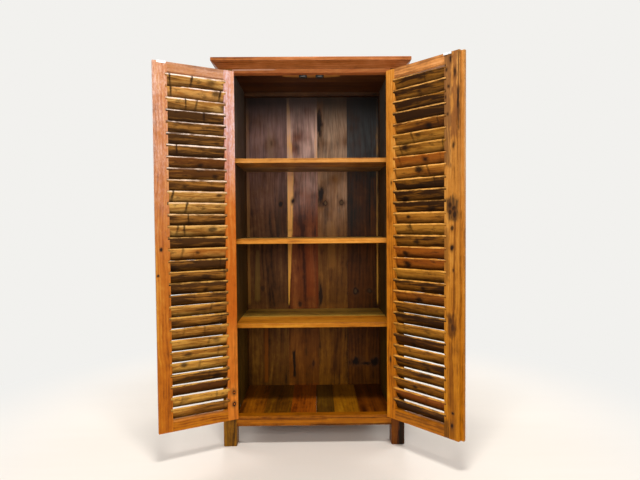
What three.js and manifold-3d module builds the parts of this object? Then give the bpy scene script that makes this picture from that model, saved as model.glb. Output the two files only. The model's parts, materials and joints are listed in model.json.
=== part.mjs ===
// Louvred door cabinet: a four-post carcass with shelves, a moulded cornice and two inset louvred doors.
// Millimetres, +Z up, +Y into the cabinet. The doors stand open, as they do at rest.
import * as THREE from 'three';
import * as BufferGeometryUtils from 'three/addons/utils/BufferGeometryUtils.js';
import Module from 'manifold-3d';

// Overall sizes
const carcassWidth = 852;
const cabinetHeight = 1800;
const backFaceDepth = 429;          // front plane to the front face of the back planks
const backPlankThickness = 12;

// Clearances
const seatGap = 0.3;                // between two pieces that touch
const cutOverrun = 2;               // how far a cutting solid runs past the face it opens
const edgeEase = 1.5;               // eased arris on posts, stiles and boards

// Frame stock
const postWidth = 61.3;
const postFootChamfer = 3;
const railDepth = 37.2;
const bottomRailUnderside = 95.6;
const bottomRailHeight = 48;
const topRailHeight = 18;
const sideRailSetback = 3;          // side rails behind the posts' outer faces
const tenonLength = 22;
const tenonThickness = 12;
const tenonShoulder = 4;

// Panels and boards
const sidePanelThickness = 20;
const sidePlankCount = 3;
const plankGroove = 2;              // half-width and depth of the V between two edge-joined planks
const backRebateWidth = 22;
const floorPlankThickness = 14;
const floorRebateWidth = 15;
const topBoardThickness = 22;
const shelfThickness = 21.5;
const shelfHousingDepth = 7;
const boardSeam = 207;              // front plane to the joint between a shelf's two boards
const shelfTops = { upper: 1355.2, middle: 974.1, lower: 573.5 };
const floorSeamShares = [0, 0.171, 0.3465, 0.515, 0.6357, 0.8016, 1];
const backSeamShares = [0, 0.319, 0.535, 0.747, 1];

// Cornice moulding
const corniceHeight = 40.9;
const corniceFrontOverhang = 44.3;
const corniceSideOverhang = 27.7;
const corniceFillet = 16;
const corniceQuirk = 2;
const corniceRounding = 3;
const coveFootShare = 0.06;
const coveHeadShare = 0.86;
const coveBowShare = 0.1;
const coveSteps = 6;

// Catch board and catches
const catchBoardLength = 270;
const catchBoardDepth = 36;
const catchBoardEndDepth = 22;
const catchBoardTaper = 62;
const catchLength = 38;
const catchWidth = 14;
const catchDepth = 10;
const catchProud = 0.5;
const catchFromCentre = 39;
const catchInset = 13;              // front edge of the catch board to the catches' centre line
const magnetRadius = 4;
const magnetRise = 0.3;

// Doors
const doorThickness = 30;
const meetingGap = 3;
const meetingOffset = 8.4;          // the doors meet this far left of the middle
const doorHingeGap = 1.5;
const doorFootGap = 2.6;
const doorHeadGap = 3;
const doorBottomRailHeight = 47;
const doorTopRailHeight = 44;
const doorRailBevel = 5;
const hingeStileWidth = 48;
const leftMeetingStileWidth = 60;
const rightMeetingStileWidth = 68;
const lipWidth = 12.8;
const lipThickness = 13;
const lipClearance = 1;
const doorTenonLength = 26;
const doorTenonThickness = 10;
const doorTenonShoulder = 8;
const leftRestAngle = THREE.MathUtils.degToRad(153.3);
const rightRestAngle = THREE.MathUtils.degToRad(133.5);

// Louvre slats
const slatCount = 30;
const slatWidth = 57;
const slatThickness = 8;
const slatEase = 1.4;
const slatTilt = THREE.MathUtils.degToRad(27);
const slatProud = 5;                // upper edge beyond the doors' inner face
const slatHousing = 8;
const slatEndGap = 0.6;             // first and last slat to the door's rails

// Hinges
const knuckleRadius = 4.5;
const hingePinRadius = 2.4;
const hingePinHead = 1.5;
const hingeLength = 76;
const hingeLeafDepth = 25;
const hingeLeafThickness = 2;
const hingeLeafSetback = 0.6;
const hingeFromDoorEnd = 75;
const knuckleCount = 5;

// Strike plates
const strikeLength = 48;
const strikeThickness = 1.2;
const strikeOnDoor = 12;
const strikeReach = 22;
const strikeCorner = 3;

// Knobs
const knobLength = 26;
const knobRadius = 12;
const knobBaseRadius = 8.5;
const knobSpigotRadius = 4;
const knobSpigotLength = 12;
const knobHeight = 940;
const knobFromEdge = 34;
const knobHoleShare = 1.1;          // hole radius over spigot radius
const knobFootShare = 1 / 3;        // base's thickness over its radius
const knobHeadShares = [[0.46, 0.33], [0.94, 0.6], [1, 0.72], [0.9, 0.9], [0.5, 1]];
const roundSteps = 20;

// Sizes that follow
const halfWidth = carcassWidth / 2;
const postInner = halfWidth - postWidth;
const carcassDepth = backFaceDepth + backPlankThickness;
const rearPostFront = carcassDepth - postWidth;
const floorTop = bottomRailUnderside + bottomRailHeight;
const floorUnderside = floorTop - floorPlankThickness;
const postTop = cabinetHeight - corniceHeight - seatGap;
const topRailUnderside = postTop - topRailHeight;
const sideRailOuter = halfWidth - sideRailSetback;
const sideRailInner = sideRailOuter - railDepth;
const sidePanelOuter = sideRailInner - seatGap;
const sidePanelInner = sidePanelOuter - sidePanelThickness;
const hingeAxisX = postInner - doorHingeGap / 2;
const hingeAxisY = -knuckleRadius;
const faceFromAxis = knuckleRadius;
const innerFaceFromAxis = faceFromAxis + doorThickness;
const doorBottom = floorTop + doorFootGap;
const doorTop = topRailUnderside - doorHeadGap;
const leftDoorWidth = postInner - doorHingeGap - meetingOffset - meetingGap / 2;
const rightDoorWidth = postInner - doorHingeGap + meetingOffset - meetingGap / 2;
const louvreBottom = doorBottom + doorBottomRailHeight;
const louvreTop = doorTop - doorTopRailHeight;
const rebateWidth = lipWidth + lipClearance - meetingGap;   // takes the other door's lip
const hingeHeights = { lower: doorBottom + hingeFromDoorEnd, upper: doorTop - hingeFromDoorEnd };

// Finishes
const finish = (color, roughness, metalness = 0) =>
  new THREE.MeshStandardMaterial({ color, roughness, metalness });
const finishes = {
  darkTeak: finish(0x4a2a18, 0.45),
  greyTeak: finish(0x6a5647, 0.5),
  redTeak: finish(0x8a4526, 0.42),
  goldenTeak: finish(0xb7762f, 0.4),
  honeyTeak: finish(0xd19a55, 0.4),
  brownTeak: finish(0x7a4a28, 0.45),
  brass: finish(0x9a7a3c, 0.4, 0.9),
  steel: finish(0xb8b8b4, 0.3, 0.95),
  blackIron: finish(0x2a2826, 0.5, 0.6),
};

// Solids: closed three.js geometries become solids that can be joined and cut
const wasm = await Module();
wasm.setup();

function solidOf(geometry) {
  const bare = geometry.clone();
  bare.deleteAttribute('normal');
  bare.deleteAttribute('uv');
  const merged = BufferGeometryUtils.mergeVertices(bare);
  return new wasm.Manifold(new wasm.Mesh({
    numProp: 3,
    vertProperties: new Float32Array(merged.attributes.position.array),
    triVerts: new Uint32Array(merged.index.array),
  }));
}

function geometryOf(solid) {
  const mesh = solid.getMesh();
  const indexed = new THREE.BufferGeometry();
  indexed.setAttribute('position', new THREE.BufferAttribute(new Float32Array(mesh.vertProperties), 3));
  indexed.setIndex(new THREE.BufferAttribute(new Uint32Array(mesh.triVerts), 1));
  const flat = indexed.toNonIndexed();
  flat.computeVertexNormals();
  return flat;
}

function addPiece(group, name, solid, material) {
  const mesh = new THREE.Mesh(geometryOf(solid), material);
  mesh.name = name;
  group.add(mesh);
}

// A box given by its two ends along each axis, in either order
function block(x, y, z) {
  const low = new THREE.Vector3(Math.min(...x), Math.min(...y), Math.min(...z));
  const high = new THREE.Vector3(Math.max(...x), Math.max(...y), Math.max(...z));
  const size = high.clone().sub(low);
  const middle = high.clone().add(low).divideScalar(2);
  return solidOf(new THREE.BoxGeometry(size.x, size.y, size.z).translate(middle.x, middle.y, middle.z));
}

const extrusion = (points, length) => new THREE.ExtrudeGeometry(
  new THREE.Shape(points.map(([u, v]) => new THREE.Vector2(u, v))),
  { depth: length, bevelEnabled: false });

// An outline in plan, drawn up from one height to another
function upright(outline, z) {
  return solidOf(extrusion(outline, z[1] - z[0]).translate(0, 0, z[0]));
}

// A section in depth and height, drawn across from one x to another
const acrossBasis = new THREE.Matrix4().makeBasis(
  new THREE.Vector3(0, 1, 0), new THREE.Vector3(0, 0, 1), new THREE.Vector3(1, 0, 0));

function across(section, x) {
  const start = Math.min(...x);
  const drawn = extrusion(section, Math.max(...x) - start).applyMatrix4(acrossBasis);
  return solidOf(drawn.translate(start, 0, 0));
}

// A rectangle with all four corners eased
function easedRectangle(x, y, ease) {
  const [x0, x1] = [Math.min(...x), Math.max(...x)];
  const [y0, y1] = [Math.min(...y), Math.max(...y)];
  return [
    [x0 + ease, y0], [x1 - ease, y0], [x1, y0 + ease], [x1, y1 - ease],
    [x1 - ease, y1], [x0 + ease, y1], [x0, y1 - ease], [x0, y0 + ease],
  ];
}

// A solid between two flat outlines with the same number of corners. The cap outline is the end
// ring as seen from beyond that end.
function loft(start, end, capOutline) {
  const outline = capOutline.map(([u, v]) => new THREE.Vector2(u, v));
  const clockwise = THREE.ShapeUtils.isClockWise(outline);
  const ordered = (list) => (clockwise ? [...list].reverse() : list);
  const [startRing, endRing] = [ordered(start), ordered(end)];
  const caps = THREE.ShapeUtils.triangulateShape(ordered(outline), []);
  const count = startRing.length;
  const index = [];
  for (const [a, b, c] of caps) {
    index.push(a, c, b, count + a, count + b, count + c);
  }
  for (let corner = 0; corner < count; corner += 1) {
    const next = (corner + 1) % count;
    index.push(corner, next, count + next, corner, count + next, count + corner);
  }
  const geometry = new THREE.BufferGeometry();
  geometry.setAttribute('position', new THREE.Float32BufferAttribute([...startRing, ...endRing].flat(), 3));
  geometry.setIndex(index);
  return solidOf(geometry);
}

const joined = (solids) => solids.reduce((whole, solid) => whole.add(solid));
const cut = (solid, cutters) => cutters.reduce((rest, cutter) => rest.subtract(cutter), solid);

// The frame's rails, with a tenon at each end. The same tenon, grown by the seat gap, cuts the post.
function tenonBox(rail, side, gap) {
  const middle = (rail.across[0] + rail.across[1]) / 2;
  const half = tenonThickness / 2 + gap;
  const shoulder = rail.ends[side];
  const outward = side === 0 ? -1 : 1;
  const along = [shoulder - outward * seatGap, shoulder + outward * (tenonLength + gap)];
  const thickness = [middle - half, middle + half];
  const height = [rail.z[0] + tenonShoulder - gap, rail.z[1] - tenonShoulder + gap];
  return rail.axis === 'x' ? block(along, thickness, height) : block(thickness, along, height);
}

function railBody(rail) {
  return rail.axis === 'x' ? block(rail.ends, rail.across, rail.z) : block(rail.across, rail.ends, rail.z);
}

const frontRailEnds = [-postInner + seatGap, postInner - seatGap];
const sideRailEnds = [postWidth + seatGap, rearPostFront - seatGap];
const bottomRailZ = [bottomRailUnderside, floorTop];
const topRailZ = [topRailUnderside, postTop];
const rearRailAcross = [backFaceDepth - seatGap - railDepth, backFaceDepth - seatGap];

const rails = {
  bottom_front_rail: { axis: 'x', ends: frontRailEnds, across: [0, railDepth], z: bottomRailZ },
  top_front_rail: { axis: 'x', ends: frontRailEnds, across: [0, railDepth], z: topRailZ },
  bottom_rear_rail: {
    axis: 'x', ends: frontRailEnds, across: rearRailAcross, z: [bottomRailUnderside, floorUnderside - seatGap],
  },
  top_rear_rail: { axis: 'x', ends: frontRailEnds, across: rearRailAcross, z: topRailZ },
};
for (const [side, sign] of [['left', -1], ['right', 1]]) {
  const between = [sign * sideRailInner, sign * sideRailOuter];
  rails[`${side}_bottom_rail`] = { axis: 'y', ends: sideRailEnds, across: between, z: bottomRailZ };
  rails[`${side}_top_rail`] = { axis: 'y', ends: sideRailEnds, across: between, z: topRailZ };
}

function railSolid(name) {
  const rail = rails[name];
  const solid = joined([railBody(rail), tenonBox(rail, 0, 0), tenonBox(rail, 1, 0)]);
  if (name !== 'bottom_front_rail') {
    return solid;
  }
  // The floor planks' front ends lie on a ledge behind this rail
  const ledgeZ = [bottomRailUnderside, floorUnderside - seatGap];
  return solid.add(block(rail.ends, [railDepth - seatGap, railDepth + floorRebateWidth], ledgeZ));
}

// Hinges: a plate let into the wood and the knuckles that it carries, round the axis at x = 0, y = 0.
// Towards is the side of the axis that the plate lies on, -1 or 1.
const pinSolid = (radius, z) => upright(circlePoints(radius), z);

function circlePoints(radius) {
  return Array.from({ length: roundSteps }, (_, step) => {
    const angle = (2 * Math.PI * step) / roundSteps;
    return [radius * Math.cos(angle), radius * Math.sin(angle)];
  });
}

function knuckleSpans(height, parity) {
  const start = height - hingeLength / 2;
  const each = hingeLength / knuckleCount;
  const spans = [];
  for (let knuckle = parity; knuckle < knuckleCount; knuckle += 2) {
    spans.push([start + knuckle * each + seatGap / 2, start + (knuckle + 1) * each - seatGap / 2]);
  }
  return spans;
}

function hingeLeaf(towards, height, parity) {
  const plateX = [towards * doorHingeGap / 2, towards * (doorHingeGap / 2 + hingeLeafThickness)];
  const plateZ = [height - hingeLength / 2, height + hingeLength / 2];
  const plateFront = faceFromAxis + hingeLeafSetback;
  const plate = block(plateX, [plateFront, faceFromAxis + hingeLeafDepth], plateZ);
  const knuckles = knuckleSpans(height, parity).flatMap((span) => [
    upright(circlePoints(knuckleRadius), span),
    block(plateX, [0, plateFront + seatGap], span),
  ]);
  return joined([plate, ...knuckles]);
}

function postHingeLeaf(towards, height) {
  const reach = hingeLength / 2 + hingePinHead;
  return hingeLeaf(towards, height, 0).add(pinSolid(hingePinRadius, [height - reach, height + reach]));
}

function doorHingeLeaf(towards, height) {
  const reach = hingeLength / 2 + cutOverrun;
  const bore = pinSolid(hingePinRadius + seatGap, [height - reach, height + reach]);
  return hingeLeaf(towards, height, 1).subtract(bore);
}

// The recess that lets a hinge plate into a post or a stile, open at the front
function leafRecess(towards, height) {
  const edge = doorHingeGap / 2;
  const x = [towards * (edge - cutOverrun), towards * (edge + hingeLeafThickness + seatGap)];
  const y = [faceFromAxis - cutOverrun, faceFromAxis + hingeLeafDepth + seatGap];
  const half = hingeLength / 2 + seatGap;
  return block(x, y, [height - half, height + half]);
}

// Posts: eased square stock with the rails' mortises, the back's rebate and the hinges' recesses
function postSolid(sideSign, rear) {
  const x = [sideSign * postInner, sideSign * halfWidth];
  const y = rear ? [rearPostFront, carcassDepth] : [0, postWidth];
  const shaft = upright(easedRectangle(x, y, edgeEase), [postFootChamfer, postTop]);
  const foot = loft(
    easedRectangle(x, y, postFootChamfer).map(([u, v]) => inset(u, v, x, y, 0)),
    easedRectangle(x, y, edgeEase).map(([u, v]) => [u, v, postFootChamfer]),
    easedRectangle(x, y, edgeEase));
  const cutters = Object.values(rails).flatMap((rail) => [tenonBox(rail, 0, seatGap), tenonBox(rail, 1, seatGap)]);
  if (rear) {
    const rebateX = [sideSign * (postInner - cutOverrun), sideSign * (postInner + backRebateWidth + seatGap)];
    cutters.push(block(rebateX, [backFaceDepth - seatGap, carcassDepth + cutOverrun],
      [bottomRailUnderside - seatGap, postTop + cutOverrun]));
  } else {
    for (const height of Object.values(hingeHeights)) {
      cutters.push(leafRecess(sideSign, height).translate([sideSign * hingeAxisX, hingeAxisY, 0]));
    }
  }
  return cut(joined([shaft, foot]), cutters);
}

// A foot's corner, drawn in by the chamfer on every side
function inset(u, v, x, y, z) {
  const middleX = (x[0] + x[1]) / 2;
  const middleY = (y[0] + y[1]) / 2;
  const share = (postWidth - postFootChamfer) / postWidth;
  return [middleX + (u - middleX) * share, middleY + (v - middleY) * share, z];
}

// Side panels: planks joined edge to edge with a V at each joint, and housings for the shelves
function sidePanelSolid(sign) {
  const y = [postWidth + seatGap, rearPostFront - seatGap];
  const x = [sign * sidePanelInner, sign * sidePanelOuter];
  const z = [bottomRailUnderside, postTop - seatGap];
  const cutters = [];
  for (let seam = 1; seam < sidePlankCount; seam += 1) {
    const seamY = y[0] + ((y[1] - y[0]) * seam) / sidePlankCount;
    for (const [faceX, inward] of [[x[0], sign], [x[1], -sign]]) {
      const vee = [
        [faceX - inward * cutOverrun, seamY - plankGroove], [faceX + inward * plankGroove, seamY],
        [faceX - inward * cutOverrun, seamY + plankGroove],
      ];
      cutters.push(upright(vee, [z[0] - cutOverrun, z[1] + cutOverrun]));
    }
  }
  for (const top of Object.values(shelfTops)) {
    const housingX = [x[0] - sign * cutOverrun, x[0] + sign * shelfHousingDepth];
    cutters.push(block(housingX, [y[0] - cutOverrun, y[1] + cutOverrun],
      [top - shelfThickness - seatGap, top + seatGap]));
  }
  return cut(block(x, y, z), cutters);
}

// Shelves: two boards each, notched round the posts and let into the side panels
function shelfBoard(top, front, back) {
  const bottom = top - shelfThickness;
  const reach = sidePanelInner + shelfHousingDepth - seatGap;
  const section = [
    [front, bottom + edgeEase], [front + edgeEase, bottom], [back, bottom],
    [back, top], [front + edgeEase, top], [front, top - edgeEase],
  ];
  const z = [bottom - cutOverrun, top + cutOverrun];
  const notches = [-1, 1].flatMap((sign) => [
    [front - cutOverrun, postWidth + 2 * seatGap],
    [rearPostFront - 2 * seatGap, backFaceDepth + cutOverrun],
  ].map((y) => block([sign * (postInner - seatGap), sign * (reach + cutOverrun)], y, z)));
  return cut(across(section, [-reach, reach]), notches);
}

// Floor and back planks: one board between each two seams
function seamPairs(shares, from, to) {
  const places = shares.map((share) => from + (to - from) * share);
  return places.slice(1).map((place, board) => [places[board] + seatGap / 2, place - seatGap / 2]);
}

const floorPlanks = seamPairs(floorSeamShares, -postInner + seatGap, postInner - seatGap)
  .map((x) => block(x, [railDepth + seatGap, backFaceDepth - seatGap], [floorUnderside, floorTop]));
const backPlanks = seamPairs(backSeamShares, -postInner - backRebateWidth, postInner + backRebateWidth)
  .map((x) => block(x, [backFaceDepth, carcassDepth], [bottomRailUnderside, postTop - seatGap]));

// Top boards lie on the posts and top rails
const topBoardZ = [postTop + seatGap, postTop + seatGap + topBoardThickness];
const topBoards = {
  top_front_board: block([-halfWidth, halfWidth], [0, boardSeam - seatGap / 2], topBoardZ),
  top_rear_board: block([-halfWidth, halfWidth], [boardSeam + seatGap / 2, carcassDepth], topBoardZ),
};

// Cornice: a cove under a square fillet. Out is a share of the overhang, so the corners mitre.
function corniceProfile() {
  const foot = topBoardZ[0];
  const head = cabinetHeight - corniceFillet - corniceQuirk;
  const profile = [[0, cabinetHeight], [0, foot]];
  for (let step = 0; step <= coveSteps; step += 1) {
    const rise = step / coveSteps;
    const bow = coveBowShare * Math.sin(Math.PI * rise);
    profile.push([coveFootShare + (coveHeadShare - coveFootShare) * rise - bow, foot + (head - foot) * rise]);
  }
  profile.push([coveHeadShare, cabinetHeight - corniceFillet], [1, cabinetHeight - corniceFillet]);
  profile.push([1, cabinetHeight - corniceRounding], [1 - corniceRounding / corniceFrontOverhang, cabinetHeight]);
  return profile;
}

function corniceFront() {
  const profile = corniceProfile();
  const ring = (sign) => profile.map(([out, z]) => [
    sign * (halfWidth + corniceSideOverhang * out), -seatGap - corniceFrontOverhang * out, z,
  ]);
  return loft(ring(-1), ring(1), profile.map(([out, z]) => [-out, z]));
}

function corniceSide(sign) {
  const profile = corniceProfile();
  const outward = (out) => sign * (halfWidth + seatGap + corniceSideOverhang * out);
  const mitre = profile.map(([out, z]) => [outward(out), -corniceFrontOverhang * out, z]);
  const rear = profile.map(([out, z]) => [outward(out), carcassDepth, z]);
  return loft(mitre, rear, profile.map(([out, z]) => [-sign * out, z]));
}

// Catch board behind the top rail, with the two magnetic catches let into its underside
const catchBoardFront = railDepth + seatGap;
const catchLine = catchBoardFront + catchInset;

function stadium(centreX, length, width) {
  const radius = width / 2;
  const half = length / 2 - radius;
  const shape = new THREE.Shape();
  shape.absarc(centreX + half, catchLine, radius, -Math.PI / 2, Math.PI / 2);
  shape.absarc(centreX - half, catchLine, radius, Math.PI / 2, (3 * Math.PI) / 2);
  return shape.getPoints(roundSteps / 4).slice(0, -1).map(({ x, y }) => [x, y]);
}

function catchBoard() {
  const half = catchBoardLength / 2;
  const shoulder = half - catchBoardTaper;
  const back = catchBoardFront + catchBoardDepth;
  const endBack = catchBoardFront + catchBoardEndDepth;
  const outline = [
    [-half, catchBoardFront], [half, catchBoardFront], [half, endBack],
    [shoulder, back], [-shoulder, back], [-half, endBack],
  ];
  const pockets = [-1, 1].map((sign) => upright(
    stadium(sign * catchFromCentre, catchLength + 2 * seatGap, catchWidth + 2 * seatGap),
    [topRailUnderside - cutOverrun, topRailUnderside + catchDepth + seatGap]));
  return cut(upright(outline, [topRailUnderside, postTop]), pockets);
}

function catchSolid(sign) {
  const bottom = topRailUnderside - catchProud;
  const body = upright(stadium(sign * catchFromCentre, catchLength, catchWidth),
    [bottom, topRailUnderside + catchDepth]);
  const magnet = upright(circlePoints(magnetRadius), [bottom - magnetRise, bottom + magnetRise])
    .translate([sign * catchFromCentre, catchLine, 0]);
  return body.add(magnet);
}

// Doors, each in its own frame: the hinge axis at x = 0, y = 0, the leaf running along x
// towards its free edge and y going inward. Direction is 1 for the left door, -1 for the right.
const slatTurn = { sin: Math.sin(slatTilt), cos: Math.cos(slatTilt) };
const slatHalfRise = (slatWidth / 2) * slatTurn.cos + (slatThickness / 2) * slatTurn.sin;
const slatHalfDepth = (slatWidth / 2) * slatTurn.sin + (slatThickness / 2) * slatTurn.cos;
const slatMiddle = innerFaceFromAxis + slatProud - slatHalfDepth;
const firstSlat = louvreBottom + slatEndGap + slatHalfRise;
const lastSlat = louvreTop - slatEndGap - slatHalfRise;
const slatHeights = Array.from({ length: slatCount },
  (_, slat) => firstSlat + ((lastSlat - firstSlat) * slat) / (slatCount - 1));

function slatSection(height, gap) {
  const outline = easedRectangle(
    [-slatWidth / 2 - gap, slatWidth / 2 + gap], [-slatThickness / 2 - gap, slatThickness / 2 + gap], slatEase);
  return outline.map(([wide, thick]) => [
    slatMiddle + wide * slatTurn.sin + thick * slatTurn.cos,
    height + wide * slatTurn.cos - thick * slatTurn.sin,
  ]);
}

const slatsBetween = (x, gap) => slatHeights.map((height) => across(slatSection(height, gap), x));

function doorRailSolid(door, z, bevelTop) {
  const ends = [hingeStileWidth + door.hingeEdge + seatGap, door.meetingLine - seatGap];
  const [bottom, top] = z;
  const [outer, inner] = [faceFromAxis, innerFaceFromAxis];
  const section = bevelTop
    ? [[outer, bottom], [inner, bottom], [inner, top - doorRailBevel], [inner - doorRailBevel, top], [outer, top]]
    : [[outer, bottom], [inner - doorRailBevel, bottom], [inner, bottom + doorRailBevel], [inner, top], [outer, top]];
  return joined([across(section, ends.map((x) => door.direction * x)), doorTenons(door, z, 0)]);
}

function doorTenons(door, z, gap) {
  const ends = [hingeStileWidth + door.hingeEdge, door.meetingLine];
  const middle = (faceFromAxis + innerFaceFromAxis) / 2;
  const half = doorTenonThickness / 2 + gap;
  const x = [ends[0] - doorTenonLength - gap, ends[1] + doorTenonLength + gap].map((end) => door.direction * end);
  return block(x, [middle - half, middle + half],
    [z[0] + doorTenonShoulder - gap, z[1] - doorTenonShoulder + gap]);
}

const doorRailMortises = (door) => [[doorBottom, louvreBottom], [louvreTop, doorTop]]
  .map((z) => doorTenons(door, z, seatGap));

function hingeStileSolid(door) {
  const edge = door.hingeEdge;
  const x = [door.direction * edge, door.direction * (edge + hingeStileWidth)];
  const stile = upright(easedRectangle(x, [faceFromAxis, innerFaceFromAxis], edgeEase), [doorBottom, doorTop]);
  const recesses = Object.values(hingeHeights).map((height) => leafRecess(door.direction, height));
  const carried = slatsBetween([
    door.direction * (edge + hingeStileWidth - slatHousing), door.direction * (door.meetingLine + slatHousing)], 0);
  return joined([cut(stile, [...recesses, ...doorRailMortises(door)]), ...carried]);
}

function meetingStileSolid(door) {
  const place = (x) => door.direction * x;
  const [from, to] = [door.meetingLine, door.freeEdge];
  const [outer, inner] = [faceFromAxis, innerFaceFromAxis];
  const outline = door.lip
    ? [
      [from, outer], [to + lipWidth, outer], [to + lipWidth, outer + lipThickness - edgeEase],
      [to + lipWidth - edgeEase, outer + lipThickness], [to, outer + lipThickness], [to, inner - edgeEase],
      [to - edgeEase, inner], [from, inner],
    ]
    : [
      [from, outer], [to - rebateWidth, outer], [to - rebateWidth, outer + lipThickness + lipClearance],
      [to, outer + lipThickness + lipClearance], [to, inner - edgeEase], [to - edgeEase, inner], [from, inner],
    ];
  const stile = upright(outline.map(([x, y]) => [place(x), y]), [doorBottom, doorTop]);
  const notches = slatsBetween([place(from - cutOverrun), place(from + slatHousing + seatGap)], seatGap);
  const knobHole = knobSpigot(knobSpigotRadius * knobHoleShare, knobSpigotLength + seatGap)
    .translate([place(door.knobPlace), faceFromAxis, knobHeight]);
  return cut(stile, [...notches, ...doorRailMortises(door), knobHole]);
}

// Turned pieces lie along y: y = 0 is the door's outer face and the head points to -y
const turned = (profile) => solidOf(new THREE.LatheGeometry(
  profile.map(([radius, height]) => new THREE.Vector2(radius, height)), roundSteps).rotateX(Math.PI));

function knobSpigot(radius, length) {
  return turned([[0, -length], [radius, -length], [radius, cutOverrun], [0, cutOverrun]]);
}

function knobSolid() {
  const head = knobHeadShares.map(([radius, length]) => [knobRadius * radius, knobLength * length]);
  return turned([
    [0, -knobSpigotLength], [knobSpigotRadius, -knobSpigotLength], [knobSpigotRadius, seatGap],
    [knobBaseRadius, seatGap], [knobBaseRadius, knobBaseRadius * knobFootShare], ...head, [0, knobLength],
  ]);
}

function strikeSolid(door) {
  const middle = door.freeEdge + door.fromMeetingMiddle - catchFromCentre;
  const x = [middle - strikeLength / 2, middle + strikeLength / 2].map((end) => door.direction * end);
  const y = [innerFaceFromAxis - strikeOnDoor, innerFaceFromAxis + strikeReach];
  return upright(easedRectangle(x, y, strikeCorner), [doorTop + seatGap, doorTop + seatGap + strikeThickness]);
}

function doorOf(side) {
  const left = side === 'left';
  const width = left ? leftDoorWidth : rightDoorWidth;
  const hingeEdge = doorHingeGap / 2;
  const freeEdge = hingeEdge + width;
  const meetingLine = freeEdge - (left ? leftMeetingStileWidth : rightMeetingStileWidth);
  return {
    direction: left ? 1 : -1, lip: !left, hingeEdge, freeEdge, meetingLine,
    fromMeetingMiddle: hingeAxisX - freeEdge,
    knobPlace: freeEdge - (left ? knobFromEdge + lipWidth : knobFromEdge),
    restTurn: left ? -leftRestAngle : rightRestAngle,
  };
}

function addDoor(parent, side) {
  const door = doorOf(side);
  const leaf = new THREE.Group();
  leaf.position.set(-door.direction * hingeAxisX, hingeAxisY, 0);
  leaf.rotation.z = door.restTurn;
  addPiece(leaf, `${side}_hinge_stile_with_slats`, hingeStileSolid(door), finishes.goldenTeak);
  addPiece(leaf, `${side}_meeting_stile`, meetingStileSolid(door), finishes.honeyTeak);
  addPiece(leaf, `${side}_door_bottom_rail`,
    doorRailSolid(door, [doorBottom, louvreBottom], true), finishes.goldenTeak);
  addPiece(leaf, `${side}_door_top_rail`, doorRailSolid(door, [louvreTop, doorTop], false), finishes.goldenTeak);
  addPiece(leaf, `${side}_strike_plate`, strikeSolid(door), finishes.steel);
  const knob = knobSolid().translate([door.direction * door.knobPlace, faceFromAxis, knobHeight]);
  addPiece(leaf, `${side}_knob`, knob, finishes.brownTeak);
  for (const [place, height] of Object.entries(hingeHeights)) {
    addPiece(leaf, `${side}_${place}_hinge_door_leaf`, doorHingeLeaf(door.direction, height), finishes.brass);
  }
  parent.add(leaf);
}

// Assembly
const cabinet = new THREE.Group();

for (const [side, sign] of [['left', -1], ['right', 1]]) {
  addPiece(cabinet, `front_${side}_post`, postSolid(sign, false), finishes.redTeak);
  addPiece(cabinet, `rear_${side}_post`, postSolid(sign, true), finishes.darkTeak);
  addPiece(cabinet, `${side}_side_panel`, sidePanelSolid(sign), finishes.darkTeak);
  addPiece(cabinet, `cornice_${side}`, corniceSide(sign), finishes.redTeak);
  addPiece(cabinet, `${side}_catch`, catchSolid(sign), finishes.blackIron);
  for (const [place, height] of Object.entries(hingeHeights)) {
    const fixedLeaf = postHingeLeaf(sign, height).translate([sign * hingeAxisX, hingeAxisY, 0]);
    addPiece(cabinet, `${side}_${place}_hinge_post_leaf`, fixedLeaf, finishes.brass);
  }
}
for (const name of Object.keys(rails)) {
  addPiece(cabinet, name, railSolid(name), finishes.redTeak);
}
for (const [place, top] of Object.entries(shelfTops)) {
  addPiece(cabinet, `${place}_shelf_front_board`,
    shelfBoard(top, railDepth, boardSeam - seatGap / 2), finishes.honeyTeak);
  addPiece(cabinet, `${place}_shelf_rear_board`,
    shelfBoard(top, boardSeam + seatGap / 2, backFaceDepth - seatGap), finishes.brownTeak);
}
floorPlanks.forEach((plank, board) => addPiece(cabinet, `floor_plank_${board + 1}`, plank, finishes.brownTeak));
backPlanks.forEach((plank, board) => addPiece(cabinet, `back_plank_${board + 1}`, plank, finishes.greyTeak));
for (const [name, board] of Object.entries(topBoards)) {
  addPiece(cabinet, name, board, finishes.darkTeak);
}
addPiece(cabinet, 'cornice_front', corniceFront(), finishes.redTeak);
addPiece(cabinet, 'catch_board', catchBoard(), finishes.honeyTeak);
addDoor(cabinet, 'left');
addDoor(cabinet, 'right');

// The origin is on the floor, under the middle of the whole cabinet's plan with its doors open
cabinet.updateMatrixWorld(true);
const reach = new THREE.Box3().setFromObject(cabinet, true);
const middle = reach.getCenter(new THREE.Vector3());
cabinet.position.set(-middle.x, -middle.y, -reach.min.z);

export default cabinet;
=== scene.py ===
# Looks of a louvred teak cabinet with its doors open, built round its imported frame.
# Metres, +Z up, +Y towards the back.
import json
import math
from collections import namedtuple

import bmesh
import bpy
from mathutils import Matrix, Vector, noise


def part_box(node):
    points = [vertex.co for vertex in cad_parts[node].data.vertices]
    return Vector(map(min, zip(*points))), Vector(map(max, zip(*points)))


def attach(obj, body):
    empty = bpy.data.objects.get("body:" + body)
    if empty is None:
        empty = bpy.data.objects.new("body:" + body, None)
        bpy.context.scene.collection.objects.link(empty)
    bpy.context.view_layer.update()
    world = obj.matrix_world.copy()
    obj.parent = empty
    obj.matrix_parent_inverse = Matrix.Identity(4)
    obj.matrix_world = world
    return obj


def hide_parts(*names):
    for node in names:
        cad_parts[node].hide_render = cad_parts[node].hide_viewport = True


MM = 0.001

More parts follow.
